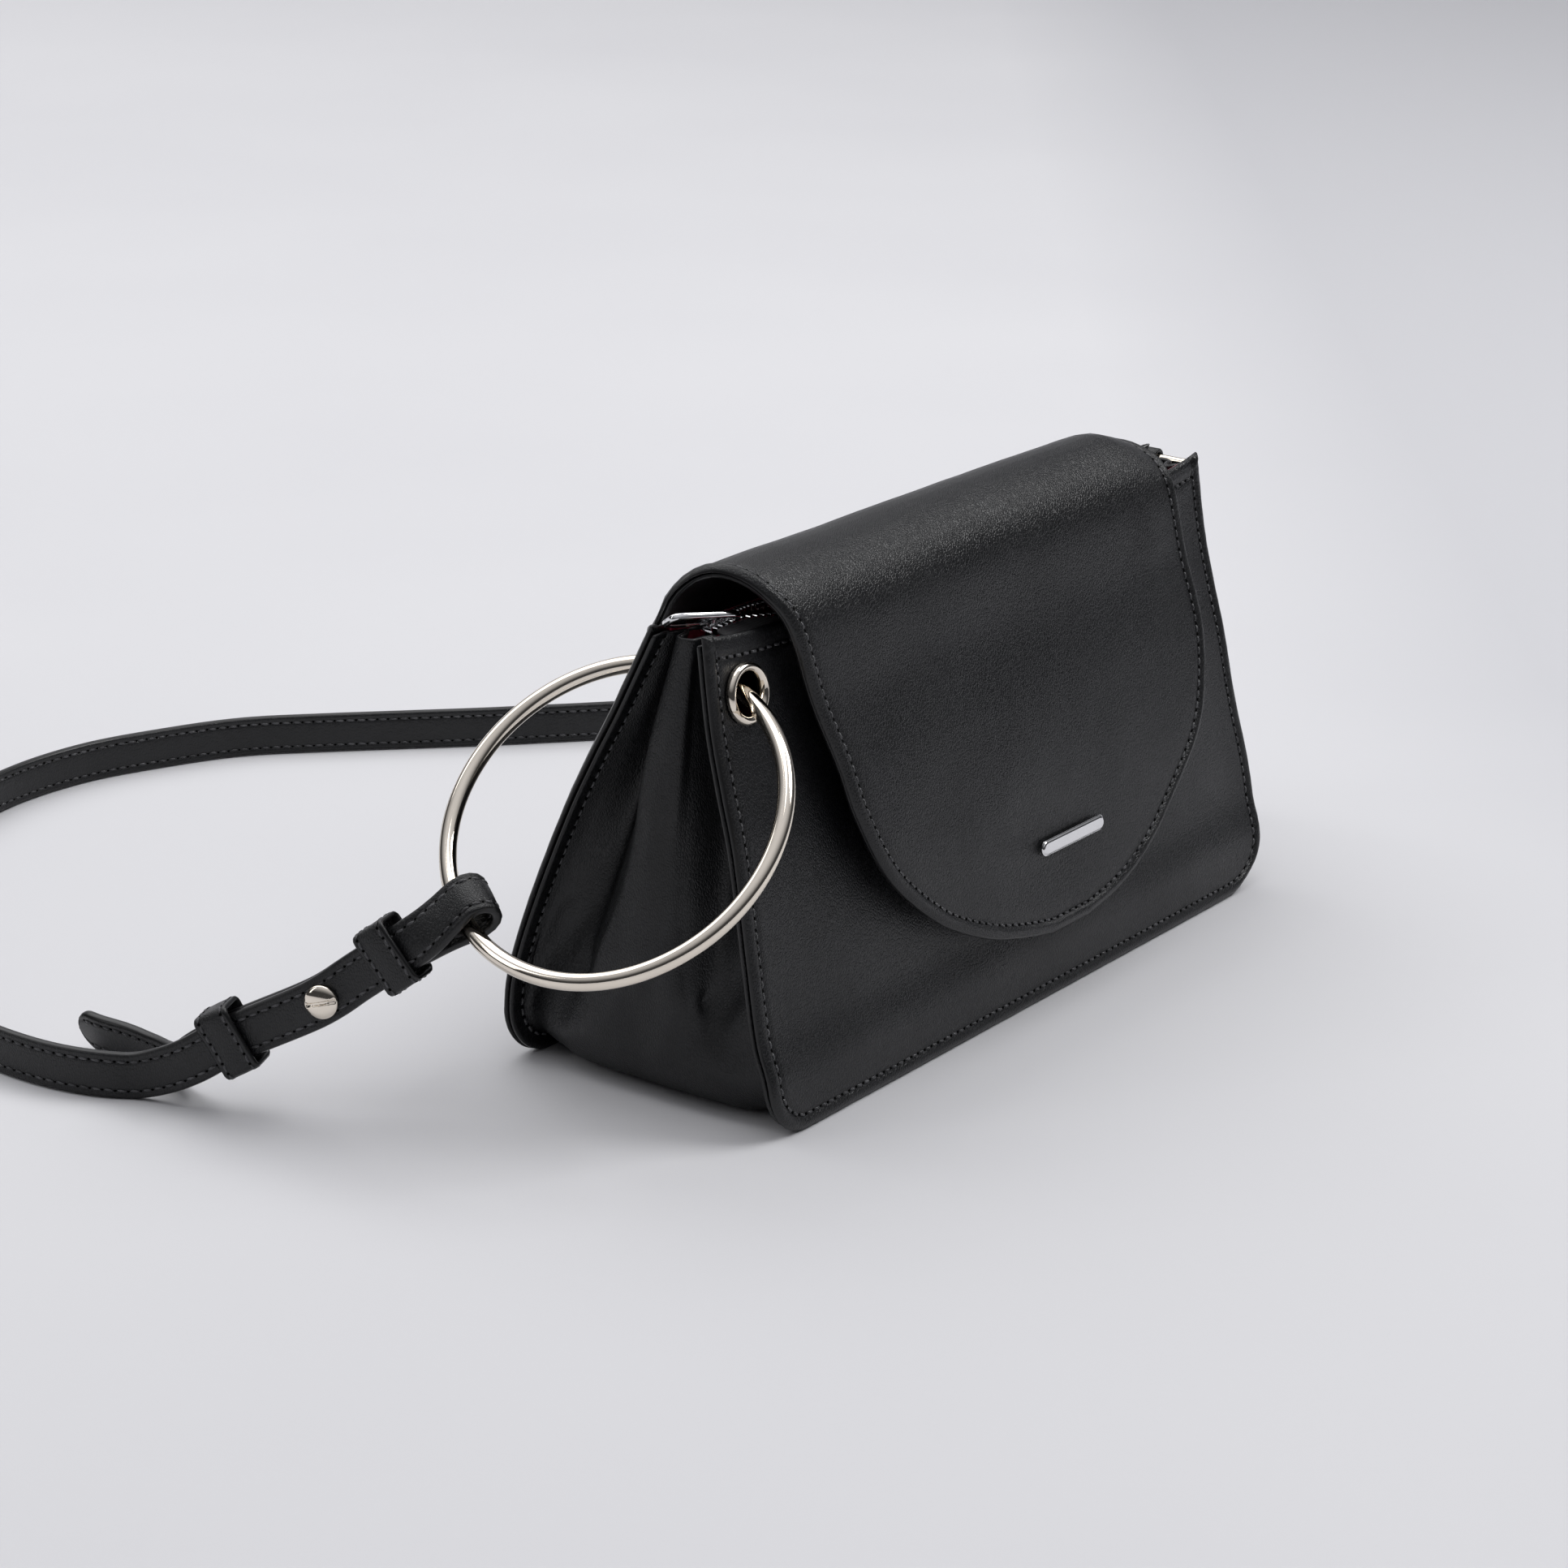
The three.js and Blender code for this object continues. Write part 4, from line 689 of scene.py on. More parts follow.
def gusset():
    stations = []
    top = BAG_HEIGHT - GUSSET_DROP
    for z in list(top - np.array([0, 0.15, 0.4, 0.8, 1.4, 2.2])) + list(np.arange(top - 4, CORNER_RADIUS + 1, -2)):
        stations.append((-float(half_length(z)), z, 1, 0, z / BAG_HEIGHT))
    centre = float(half_length(float(CORNER_RADIUS))) - CORNER_RADIUS
    for degrees in np.arange(0, 90, 7.5):
        a = math.radians(degrees)
        stations.append((-centre - CORNER_RADIUS * math.cos(a), CORNER_RADIUS * (1 - math.sin(a)),
                         math.cos(a), math.sin(a), 0.114 * (1 - degrees / 90)))
    for x in np.linspace(-centre, 0, 18):
        stations.append((x, 0, 0, 1, 0))
    lip_depth = PANEL_WALL + CLEARANCE + GUSSET_WALL / 2
    rows = []
    for x, z, inward_x, inward_z, up in stations:
        profile = fold_profile(up)
        tuck = GUSSET_TUCK * inward_x * (1 - ramp(z, 16, 42))
        profile[:, 1] += tuck * np.sqrt(np.maximum(1 - profile[:, 0] ** 2, 0))
        px, pz = x + profile[:, 1] * inward_x, z + profile[:, 1] * inward_z
        front, back = face_y(-1, px, pz, lip_depth), face_y(1, px, pz, lip_depth)
        rows.append(np.stack([px, front + (back - front) * (profile[:, 0] + 1) / 2, pz], -1))
    half = np.array(rows)
    grid = np.vstack([half, half[:-1][::-1] * [-1, 1, 1]])
    normals = grid_normals(grid)
    z, x = grid[..., 2], grid[..., 0]
    inner = np.ones(grid.shape[:2])
    edge = np.concatenate([np.linspace(0, 0.2, 10), np.ones(grid.shape[1] - 20), np.linspace(0.2, 0, 10)])
    inner *= edge * (0.15 + 0.85 * ramp(z, 6, 18))
    crease = wrinkle(grid, 22, 0.9, 2.4, (1, 0.7, 0.35)) + wrinkle(grid, 7, 0.16, 9.1, (1, 1, 0.5))
    slant = np.stack([x, grid[..., 1] + 0.55 * z, z - 0.55 * grid[..., 1]], -1)
    low_crease = wrinkle(slant, 9, 1.3, 4.2, (0.6, 1, 0.3)) + wrinkle(slant, 4, 0.35, 6.6, (0.6, 1, 0.4))
    low_crease = low_crease * (1 - ramp(z, 34, 60))
    lift = inner * (crease + low_crease)
    lift *= ramp(BAG_HEIGHT - z, 2, 12)
    distance = np.minimum(np.arange(grid.shape[1]), np.arange(grid.shape[1])[::-1])
    wall = np.where(distance == 0, 0.35, np.where(distance == 1, 0.55, GUSSET_WALL / 2))
    top_round = np.ones(grid.shape[0])
    top_round[:3] = (0.45, 0.75, 0.95)
    top_round[-3:] = (0.95, 0.75, 0.45)
    wall = wall * top_round[:, None]
    obj = shell("gusset", grid, lift + wall, lift - wall, [LEATHER, EDGE], None, normals=normals, stands_for=("gusset",))
    return obj, grid, normals


gusset_piece, gusset_grid, gusset_normals = gusset()


def gusset_lines():
    """The stitches on both lips, and the sewn crease in each front valley."""
    lines = []
    columns = gusset_grid.shape[1]
    sign = np.sign(gusset_normals[20, 0, 1])
    for column, toward in ((8, sign), (columns - 9, sign)):
        places = gusset_grid[3:-3, column]
        facing = gusset_normals[3:-3, column]
        inward = facing * np.where(facing[:, 1:2] * (1 if column > 20 else -1) > 0, -1, 1)
        lines.append((places + inward * (GUSSET_WALL / 2 + 0.05), inward))
    valley = 10 + 16
    for rows in (slice(3, 22), slice(gusset_grid.shape[0] - 22, gusset_grid.shape[0] - 3)):
        places, facing = gusset_grid[rows, valley + 3], gusset_normals[rows, valley + 3]
        outward = facing * np.sign(facing[:, 0:1] * np.sign(places[:, 0:1]))
        lines.append((places + outward * (GUSSET_WALL / 2 + 0.1), outward))
    return lines


stitches("gusset_stitches", gusset_lines())


# Flap
def flap_line():
    on_back = [(face_y(1, 0, z, -CLEARANCE), z) for z in BAG_HEIGHT - 3 - FLAP_BACK_REACH * vec(1, 0.66, 0.33)]
    back_top = (face_y(1, 0, BAG_HEIGHT - 3, -CLEARANCE), BAG_HEIGHT - 3)
    stack = FLAP_LINING_WALL + CLEARANCE + FLAP_WALL
    front_top = (face_y(-1, 0, BAG_HEIGHT - 3, stack - FLAP_PROUD), BAG_HEIGHT - 3)
    arch = [(back_top[0] + (front_top[0] - back_top[0]) * share, mouth_height(0) + FLAP_RISE * rise)
            for share, rise in FLAP_ARCH]
    heights = [front_top[1] + (FLAP_FOOT - front_top[1]) * s for s in (0.2, 0.4, 0.6, 0.8, 1)]
    on_front = [(face_y(-1, 0, z, stack - FLAP_PROUD), z) for z in heights]
    places = [(0, float(y), float(z)) for y, z in [*on_back, back_top, *arch, front_top, *on_front]]
    return Line(smooth_line(places, 60))


eyelet_x = EYELET_PLACES[1][0] - float(half_length(BAG_HEIGHT - EYELET_PLACES[1][1]))
flap_back_half = -eyelet_x - EYELET_FLANGE - FLAP_EYELET_GAP
FLAP_LINE = flap_line()


def flap_half(t, k):
    table = [(row[0], row[k] * (flap_back_half if row[0] < 0 else FLAP_WIDTH / 2)) for row in FLAP_EDGES]
    return follow(table, t)


def flap_t(length):
    beyond = (length - FLAP_BACK_REACH) / (FLAP_LINE.length - FLAP_BACK_REACH)
    return np.where(length < FLAP_BACK_REACH, length / FLAP_BACK_REACH - 1, beyond)


def flap_point(length, x):
    p = FLAP_LINE.at(length)
    sag = FLAP_SAG * ramp(x, 0.32 * FLAP_WIDTH, 0.46 * FLAP_WIDTH)
    above = np.maximum((p[..., 2] - mouth_height(0) - 1) / FLAP_RISE, 0)
    return np.stack([x + 0 * p[..., 0], p[..., 1] + 0 * x, p[..., 2] - sag * above], -1)


def flap_outline(count=420):
    """The flap's edge in its own flat plane, x against length, without the back seam."""
    lengths = np.linspace(0, FLAP_LINE.length, count)
    left = np.stack([-flap_half(flap_t(lengths), 1), lengths], -1)
    right = np.stack([flap_half(flap_t(lengths), 2), lengths], -1)
    return np.vstack([left, right[::-1]])


OUTLINE = flap_outline()


def outline_distance(x, length):
    a, b = OUTLINE[:-1], OUTLINE[1:]
    step = b - a
    size = np.maximum((step ** 2).sum(1), 1e-9)
    p = np.stack([x, length], -1).reshape(-1, 1, 2)
    best = np.full(len(p), 1e9)
    for start in range(0, len(p), 1500):
        q = p[start:start + 1500]
        t = np.clip(((q - a) * step).sum(-1) / size, 0, 1)
        best[start:start + 1500] = np.hypot(*np.moveaxis(q - (a + t[..., None] * step), -1, 0)).min(1)
    return best.reshape(x.shape)


def flap_grid(inset):
    steps = np.array(near_edge_steps(40, 3.4))
    tip = steps[steps < 9][::-1]
    lengths = np.concatenate([np.arange(0, FLAP_LINE.length - 9, 2.1), FLAP_LINE.length - tip])
    rows = []
    for length in lengths:
        t = flap_t(length)
        left, right = float(flap_half(t, 1)) - inset, float(flap_half(t, 2)) - inset
        width = left + right
        fill = np.linspace(0, 1, 34)
        reach = steps[-1]
        scale = min(1.0, 0.42 * width / reach)
        first = -left + steps * scale
        last = (right - steps * scale)[::-1]
        middle = first[-1] + (last[0] - first[-1]) * fill[1:-1]
        rows.append(np.concatenate([first, middle, last]))
    x = np.array(rows)
    length = (lengths * (1 - inset / FLAP_LINE.length))[:, None] * np.ones(x.shape[1])
    return x, length


FLAP_PROFILE = [(0, 0), (0.7, 0.18), (1.5, 0.52), (2.3, 0.58), (3.0, 0.3), (3.4, -0.1), (3.7, -0.42), (4.2, -0.12),
                (5.4, 0.16), (8, 0.28), (14, 0.34), (24, 0.3)]


def flap(name, low, high, inset, padded):
    x, length = flap_grid(inset)
    grid = flap_point(length, x)
    normals = -grid_normals(grid)
    if normals[len(normals) // 2, normals.shape[1] // 2, 2] < 0 and normals[-3, 40, 1] > 0:
        normals = -normals
    distance = outline_distance(x, length)
    wall = high - low
    profile, round_off = edge_profile(distance, FLAP_PROFILE, wall * 1.5)
    puff = wrinkle(grid, 30, 0.4, 6.2) + wrinkle(grid, 10, 0.1, 2.9)
    near_right = ramp(x, 55, 85) * ramp(grid[..., 2], 75, 110)
    puff = puff + near_right * wrinkle(grid, 7, 0.5, 8.3)
    ribs = wrinkle(grid, 1.5, 0.12, 4.4) * (distance < 3.2)
    base = 1 - ramp(length, 0, 1) * 0
    if padded:
        top = high + profile * base + puff * ramp(distance, 5, 18) + ribs - round_off
        under = low + 0.3 * round_off
    else:
        top = high + 0 * distance - 0.3 * round_off
        under = low + round_off
    return shell(name, grid, top, under, [LEATHER if padded else BACKING, EDGE], distance < 0.5,
                 normals=normals, stands_for=(name,))


FLAP_OUTER = FLAP_LINING_WALL + CLEARANCE + FLAP_WALL
flap("flap", FLAP_LINING_WALL + 0.12, FLAP_OUTER, 0, True)
flap("flap_lining", 0.0, FLAP_LINING_WALL + 0.1, 0.5, False)


def flap_stitch_path():
    """The outline moved inwards by the stitches' inset and laid on the flap."""
    flat = OUTLINE
    tangent = unit(np.gradient(flat, axis=0))
    inward = np.stack([tangent[:, 1], -tangent[:, 0]], -1)
    moved = flat + inward * FLAP_INSET
    keep = outline_distance(moved[:, 0], moved[:, 1]) > FLAP_INSET - 0.15
    moved = moved[keep]
    moved = moved[(moved[:, 1] > 3) & (moved[:, 1] < FLAP_LINE.length - FLAP_INSET * 0.8)]
    x, length = moved[:, 0], moved[:, 1]
    place = flap_point(length, x)
    along = flap_point(length + 0.6, x) - flap_point(length - 0.6, x)
    across = flap_point(length, x + 0.6) - flap_point(length, x - 0.6)
    normal = unit(np.cross(across, along))
    ahead = flap_point(np.array([60.0]), np.array([0.0]))[0]
    middle = np.argmin(np.abs(length - 60))
    if np.dot(normal[middle], vec(0, -0.3, 1)) < 0:
        normal = -normal
    return place + normal * (FLAP_OUTER - 0.26) + 0 * ahead, normal


def back_seam_path(length):
    x = np.linspace(-flap_back_half + 5, flap_back_half - 5, 60)
    place = flap_point(np.full(60, float(length)), x)
    return place + vec(0, 1, 0) * (FLAP_OUTER + 0.1), np.tile(unit(vec(0, 1, 0.35)), (60, 1))


stitches("flap_stitches", [flap_stitch_path(), back_seam_path(FLAP_INSET), back_seam_path(FLAP_INSET + 7)])


# Plain bar
def rounded_slab(name, length, width, wall, place, x_axis, y_axis, material, corner=None, bevel=0.35, **more):
    """A flat bar with round ends and softened edges."""
    corner = width / 2 - 0.05 if corner is None else corner
    z_axis = np.cross(x_axis, y_axis)
    flat = []
    for cx, cy, start in ((1, 1, 0), (-1, 1, 90), (-1, -1, 180), (1, -1, 270)):
        for a in np.radians(np.linspace(start, start + 90, 9)):
            flat.append((cx * (length / 2 - corner) + corner * math.cos(a), cy * (width / 2 - corner) + corner * math.sin(a)))
    flat = np.array(flat)
    rings = []
    for inset, height in ((bevel, 0), (0.3 * bevel, 0.3 * bevel), (0, bevel), (0, wall - bevel),
                          (0.3 * bevel, wall - 0.3 * bevel), (bevel, wall)):
        shrunk = flat * [(length / 2 - inset) / (length / 2), (width / 2 - inset) / (width / 2)]
        rings.append(place + shrunk[:, :1] * x_axis + shrunk[:, 1:] * y_axis + height * z_axis)
    obj = loft(name, rings, [material], **more)
    for polygon in obj.data.polygons:
        polygon.use_smooth = len(polygon.vertices) < 5
    return obj


def flap_outer(z, lift):
    y = face_y(-1, 0, z, -FLAP_PROUD)
    rise = face_y(-1, 0, z + 4, -FLAP_PROUD) - face_y(-1, 0, z - 4, -FLAP_PROUD)
    up = unit(vec(0, float(rise), 8))
    out = np.cross(vec(1, 0, 0), up)
    return vec(BAR_PLACE[0], float(y), z) + out * lift, up, out


bar_place, bar_up, bar_out = flap_outer(BAR_PLACE[1], 0.55)
rounded_slab("flap_bar", BAR_LENGTH, BAR_HEIGHT, BAR_WALL, bar_place, vec(1, 0, 0), bar_up, CHROME,
             bevel=0.75, slot="zip_metal", stands_for=("flap_bar",))


# Eyelets and ring
def lathe(name, profile, axis, place, material, sides=64, slot="pale_gold", stands_for=(), closed=True):
    """A turned piece: profile is radius and height along the axis."""
    side, other, axis = basis_of(axis)
    profile = np.array(profile, float)
    angles = np.arange(sides) * 2 * np.pi / sides
    rings = []
    for a in angles:
        out = side * math.cos(a) + other * math.sin(a)
        rings.append(place + profile[:, :1] * out + profile[:, 1:] * axis)
    rings = np.array(rings)
    count = len(profile)
    index = np.arange(sides * count).reshape(sides, count)
    following = np.roll(index, -1, 0)
    last = count if closed else count - 1
    faces = []
    for k in range(last):
        j = (k + 1) % count
        faces += np.stack([index[:, k], following[:, k], following[:, j], index[:, j]], -1).tolist()
    return piece(name, rings.reshape(-1, 3), faces, [material], slot=slot, stands_for=stands_for)


def eyelet(side, name):
    inset, drop = EYELET_PLACES[side]
    z = BAG_HEIGHT - drop
    x = inset - float(half_length(z))
    axis = unit(face_normal(side, np.array(x), np.array(z)))
    place = vec(x, float(face_y(side, x, z)), z)
    seat, dome = EYELET_SEAT - 0.35, EYELET_DOME + 0.35
    inside = -(PANEL_WALL + CLEARANCE + LINING_WALL) - EYELET_SEAT
    angles = np.radians(np.linspace(-10, 150, 14))
    centre, wide = (EYELET_FLANGE + EYELET_HOLE) / 2 + 0.15, (EYELET_FLANGE - EYELET_HOLE) / 2 - 0.1
    crown = [(centre + wide * math.cos(a), seat + 0.5 + (dome - 0.5) * max(math.sin(a), -0.3)) for a in angles]
    throat = [(EYELET_HOLE + 0.05, seat + 0.5), (EYELET_HOLE, seat), (EYELET_HOLE, inside - EYELET_WASHER_WALL)]
    washer = [(EYELET_HOLE + 0.3, inside - EYELET_WASHER_WALL - 0.12), (EYELET_WASHER - 0.2, inside - EYELET_WASHER_WALL),
              (EYELET_WASHER, inside - 0.3), (EYELET_WASHER - 0.1, inside), (EYELET_HOLE + EYELET_TUBE_WALL, inside),
              (EYELET_HOLE + EYELET_TUBE_WALL, seat), (EYELET_FLANGE - 0.1, seat)]
    lathe(name, crown + throat + washer, axis, place, GOLD, stands_for=(name,))
    return place, axis


eyelets = {side: eyelet(side, name) for side, name in ((-1, "eyelet_front"), (1, "eyelet_back"))}
threaded = {side: place - axis * PANEL_WALL / 2 for side, (place, axis) in eyelets.items()}
chord = threaded[1] - threaded[-1]
chord_axis = unit(chord)
ring_out = unit(vec(-1, 0, 0) + chord_axis * chord_axis[0])
ring_down = np.cross(ring_out, chord_axis)
ring_down *= -np.sign(ring_down[2])
ring_axis_out = ring_out * math.cos(math.radians(RING_TILT)) + ring_down * math.sin(math.radians(RING_TILT))
ring_centre = threaded[-1] + chord / 2 + ring_axis_out * math.sqrt(RING_RADIUS ** 2 - np.dot(chord, chord) / 4)
ring_normal = unit(np.cross(ring_axis_out, chord_axis))


def on_ring(degrees, radius=RING_RADIUS):
    a = math.radians(degrees)
    return ring_centre + radius * (ring_axis_out * math.cos(a) + chord_axis * math.sin(a))


def ring():
    rings = []
    turn = np.arange(20) * 2 * np.pi / 20
    for a in np.arange(0, 360, 2):
        out = unit(on_ring(a) - ring_centre)
        rings.append([on_ring(a) + RING_WIRE / 2 * (out * math.cos(t) + ring_normal * math.sin(t)) for t in turn])
    loft("ring", rings, [GOLD], closed=True, slot="pale_gold", stands_for=("ring",))


ring()

# Zip
ZIP_Z = float(mouth_height(0)) - ZIP_DROP
ZIP_HALF = MOUTH_LENGTH / 2 - ZIP_END_MARGIN
zip_middle_y = float((face_y(-1, ZIP_HALF, ZIP_Z, PANEL_WALL) + face_y(1, ZIP_HALF, ZIP_Z, PANEL_WALL)) / 2)


def zip_edge(side, x):
    opened = ramp(x, SLIDER_LENGTH - ZIP_HALF, SLIDER_LENGTH + ZIP_SPREAD - ZIP_HALF)
    return zip_middle_y + side * (ZIP_CLOSED_GAP + (ZIP_GAP - ZIP_CLOSED_GAP) * opened) / 2


def zip_side(side, word):
    wall_y = float(face_y(side, ZIP_HALF, ZIP_Z + 2 * ZIP_TAPE_WALL, PANEL_WALL + 2 * CLEARANCE + LINING_WALL))
    x = np.linspace(-ZIP_HALF, ZIP_HALF, 130)
    v = np.linspace(0, 1, 9)
    inner = zip_edge(side, x) + side * ZIP_TOOTH * 0.7
    y = wall_y + (inner[:, None] - wall_y) * v
    rise = 1.5 * np.exp(-((x[:, None] + ZIP_HALF - 9) / 16) ** 2) * v ** 0.7
    z = ZIP_Z + ZIP_TAPE_WALL / 2 + rise + 0.25 * np.sin(x[:, None] / 9) * v
    grid = np.stack([x[:, None] + 0 * v, y, z], -1)
    shell(f"zip_tape_{word}", grid, 0.3, -0.3, [TAPE, TAPE], slot="zip_tape", stands_for=(f"zip_tape_{word}",))
    points, faces = [], []
    tooth_pitch = 2.1
    count = int(2 * ZIP_HALF / tooth_pitch)
    outline = np.array([(-0.5, -1.1), (-0.5, 0.35), (-0.36, 0.85), (0, 1.05), (0.36, 0.85), (0.5, 0.35), (0.5, -1.1)])
    for i in range(count):
        tx = -ZIP_HALF + (i + (0.25 if side < 0 else 0.75)) * tooth_pitch
        lift = ZIP_Z + ZIP_TAPE_WALL / 2 + 1.5 * math.exp(-((tx + ZIP_HALF - 9) / 16) ** 2) + 0.25 * math.sin(tx / 9)
        ty = float(zip_edge(side, tx)) + side * 0.9
        start = len(points)
        n = len(outline)
        for height, scale in ((-0.95, 0.85), (-0.7, 1), (0.7, 1), (0.95, 0.85)):
            for ox, oy in outline:
                points.append((tx + ox * 1.25 * scale, ty - side * oy * scale, lift + height))
        for r in range(3):
            for k in range(n):
                a, b = start + r * n + k, start + r * n + (k + 1) % n
                faces.append((a, b, b + n, a + n))
        faces += [tuple(start + k for k in range(n - 1, -1, -1)), tuple(start + 3 * n + k for k in range(n))]
    piece(f"zip_teeth_{word}", points, faces, [CHROME], smooth=False, slot="zip_metal")


zip_side(-1, "front")
zip_side(1, "back")

slider_x = -ZIP_HALF + SLIDER_LENGTH / 2
slider_top = ZIP_Z + ZIP_TAPE_WALL / 2 + SLIDER_HEIGHT / 2


def zip_slider():
    """Slider: two plates over and under the teeth with a bridge for the puller."""
    wide = ZIP_CLOSED_GAP + 2 * ZIP_TOOTH + 1.5
    rings = []
    for t in np.linspace(0, 1, 15):
        x = slider_x + SLIDER_LENGTH * (t - 0.5)
        half = wide / 2 * (0.72 + 0.28 * math.sin(math.pi * min(t * 1.2 + 0.1, 1) * 0.5)) * (1 if 0 < t < 1 else 0.8)
        tall = SLIDER_HEIGHT / 2 * (1 if 0 < t < 1 else 0.75)
        ring_points = []
        for a in np.arange(24) * 2 * np.pi / 24:
            c, s = math.cos(a), math.sin(a)
            ring_points.append((x, zip_middle_y + half * np.sign(c) * abs(c) ** 0.45,
                                slider_top - SLIDER_HEIGHT / 2 + tall * np.sign(s) * abs(s) ** 0.45 * 0.94))
        rings.append(ring_points)
    loft("zip_slider", rings, [CHROME], slot="zip_metal", stands_for=("zip_slider",))
    bow = smooth_line([(slider_x + dx, zip_middle_y, slider_top + dz)
                       for dx, dz in ((-3, -0.4), (-2.6, 0.7), (-0.8, 1.3), (1.4, 1.3), (3, 0.6), (3.3, -0.4))], 6)
    tangent, side, up = frames_along(bow, vec(0, 1, 0) + 0 * bow)
    turn = np.arange(10) * 2 * np.pi / 10
    rings = [[p + 0.8 * u * math.cos(t) + 0.45 * s * math.sin(t) for t in turn] for p, s, u in zip(bow, side, up)]
    loft("zip_slider_bridge", rings, [CHROME], slot="zip_metal")


def zip_puller():
    """Puller: a flat loop of polished metal, widest at its free end, with a thin plate inside."""
    along = unit(vec(-0.92, 0.37, 0.09))
    across = unit(np.cross(vec(0, 0, 1), along))
    up = np.cross(along, across)
    tilt = math.radians(PULLER_TILT)
    across, up = across * math.cos(tilt) + up * math.sin(tilt), up * math.cos(tilt) - across * math.sin(tilt)
    start = vec(slider_x + 0.4 * SLIDER_LENGTH, zip_middle_y - 0.36 * (ZIP_CLOSED_GAP + 2 * ZIP_TOOTH + 1.5),
                slider_top + CLEARANCE + 1.1)
    end, foot, wire, tall = PULLER_WIDTH / 2, PULLER_WIDTH * 0.3, 0.85, 0.85
    path = [(0.9, -foot), (PULLER_LENGTH * 0.5, -(foot + end) / 2), (PULLER_LENGTH - 2.4, -end + wire * 0.6),
            (PULLER_LENGTH - 1.0, -end + wire * 1.4), (PULLER_LENGTH - wire, 0), (PULLER_LENGTH - 1.0, end - wire * 1.4),
            (PULLER_LENGTH - 2.4, end - wire * 0.6), (PULLER_LENGTH * 0.5, (foot + end) / 2), (0.9, foot),
            (0.2, foot * 0.4), (0.2, -foot * 0.4)]
    line = smooth_line(path + path[:3], 8)[8:8 + 8 * len(path)]
    centres = start + line[:, :1] * along + line[:, 1:] * across
    tangent = unit(np.roll(centres, -1, 0) - np.roll(centres, 1, 0))
    outwards = np.cross(tangent, up)
    section = [(math.copysign(abs(math.cos(t)) ** 0.6, math.cos(t)), math.copysign(abs(math.sin(t)) ** 0.6, math.sin(t)))
               for t in (np.arange(16) + 0.5) * 2 * np.pi / 16]
    rings = [[p + wire * u * o + tall * v * up for u, v in section] for p, o in zip(centres, outwards)]
    loft("zip_puller", rings, [CHROME], closed=True, slot="zip_metal", stands_for=("zip_puller",))
    rounded_slab("zip_puller_plate", PULLER_LENGTH * 0.62, PULLER_WIDTH * 0.55, 0.8,
                 start + along * PULLER_LENGTH * 0.6 - up * 0.5, along, across, CHROME, corner=0.7, bevel=0.2,
                 slot="zip_metal")


zip_slider()
zip_puller()


# D-ring and its tab
tab_foot = BAG_HEIGHT - D_RING_DROP - TAB_HEIGHT
ridge_depth = GUSSET_WALL / 2 + FOLD_DEPTH * float(follow([(u, r[4]) for u, r in zip(GUSSET_UP, GUSSET_DEEP)],
                                                          tab_foot / BAG_HEIGHT))
tab_rim = D_RING_WIRE / 2 + CLEARANCE + TAB_WALL
d_ring_x = float(half_length(tab_foot)) - ridge_depth + GUSSET_WALL / 2 + 1.5 * CLEARANCE + tab_rim
d_ring_z = tab_foot + TAB_HEIGHT
d_ring_y = float(face_y(-1, d_ring_x, d_ring_z) + face_y(1, d_ring_x, d_ring_z)) / 2 + D_RING_SHIFT
d_ring_bar = vec(d_ring_x, d_ring_y, d_ring_z)
d_fall = vec(math.cos(math.radians(D_RING_FALL)), 0, -math.sin(math.radians(D_RING_FALL)))
d_ring_apex = d_ring_bar + d_fall * D_RING_DEPTH


def d_ring():
    half = (D_RING_WIDTH + D_RING_WIRE) / 2
    bow = [(half * math.sin(a), D_RING_DEPTH * (0.3 + 0.7 * math.sqrt(max(math.cos(a), 0))))
           for a in np.pi * (np.linspace(0, 1, 33) - 0.5)]
    corner = [(half, 1.6), (half * 0.97, 0.6), (half * 0.9, 0.1)]
    path = bow + corner + [(y, 0) for y in np.linspace(half * 0.8, -half * 0.8, 12)]
    path += [(-y, a) for y, a in corner[::-1]]
    centres = np.array([d_ring_bar + vec(0, y, 0) + d_fall * a for y, a in path])
    out = unit(np.cross(vec(0, 1, 0), d_fall))
    tangent = unit(np.roll(centres, -1, 0) - np.roll(centres, 1, 0))
    side = unit(np.cross(tangent, out))
    turn = np.arange(14) * 2 * np.pi / 14
    rings = [[p + D_RING_WIRE / 2 * (s * math.cos(t) + out * math.sin(t)) for t in turn] for p, s in zip(centres, side)]
    loft("d_ring", rings, [GOLD], closed=True, slot="pale_gold", stands_for=("d_ring",))


def band_ring(place, across, normal, width, wall, edge=0.55, sides=5):
    """A flat band's section: flat faces and rounded edges."""
    half, thick = width / 2, wall / 2
    section = [(-half + edge + (2 * half - 2 * edge) * k / (sides - 1), thick) for k in range(sides)]
    section += [(half - edge * 0.3, thick * 0.72), (half, 0), (half - edge * 0.3, -thick * 0.72)]
    section += [(half - edge - (2 * half - 2 * edge) * k / (sides - 1), -thick) for k in range(sides)]
    section += [(-half + edge * 0.3, -thick * 0.72), (-half, 0), (-half + edge * 0.3, thick * 0.72)]
    return [place + w * across + n * normal for w, n in section]


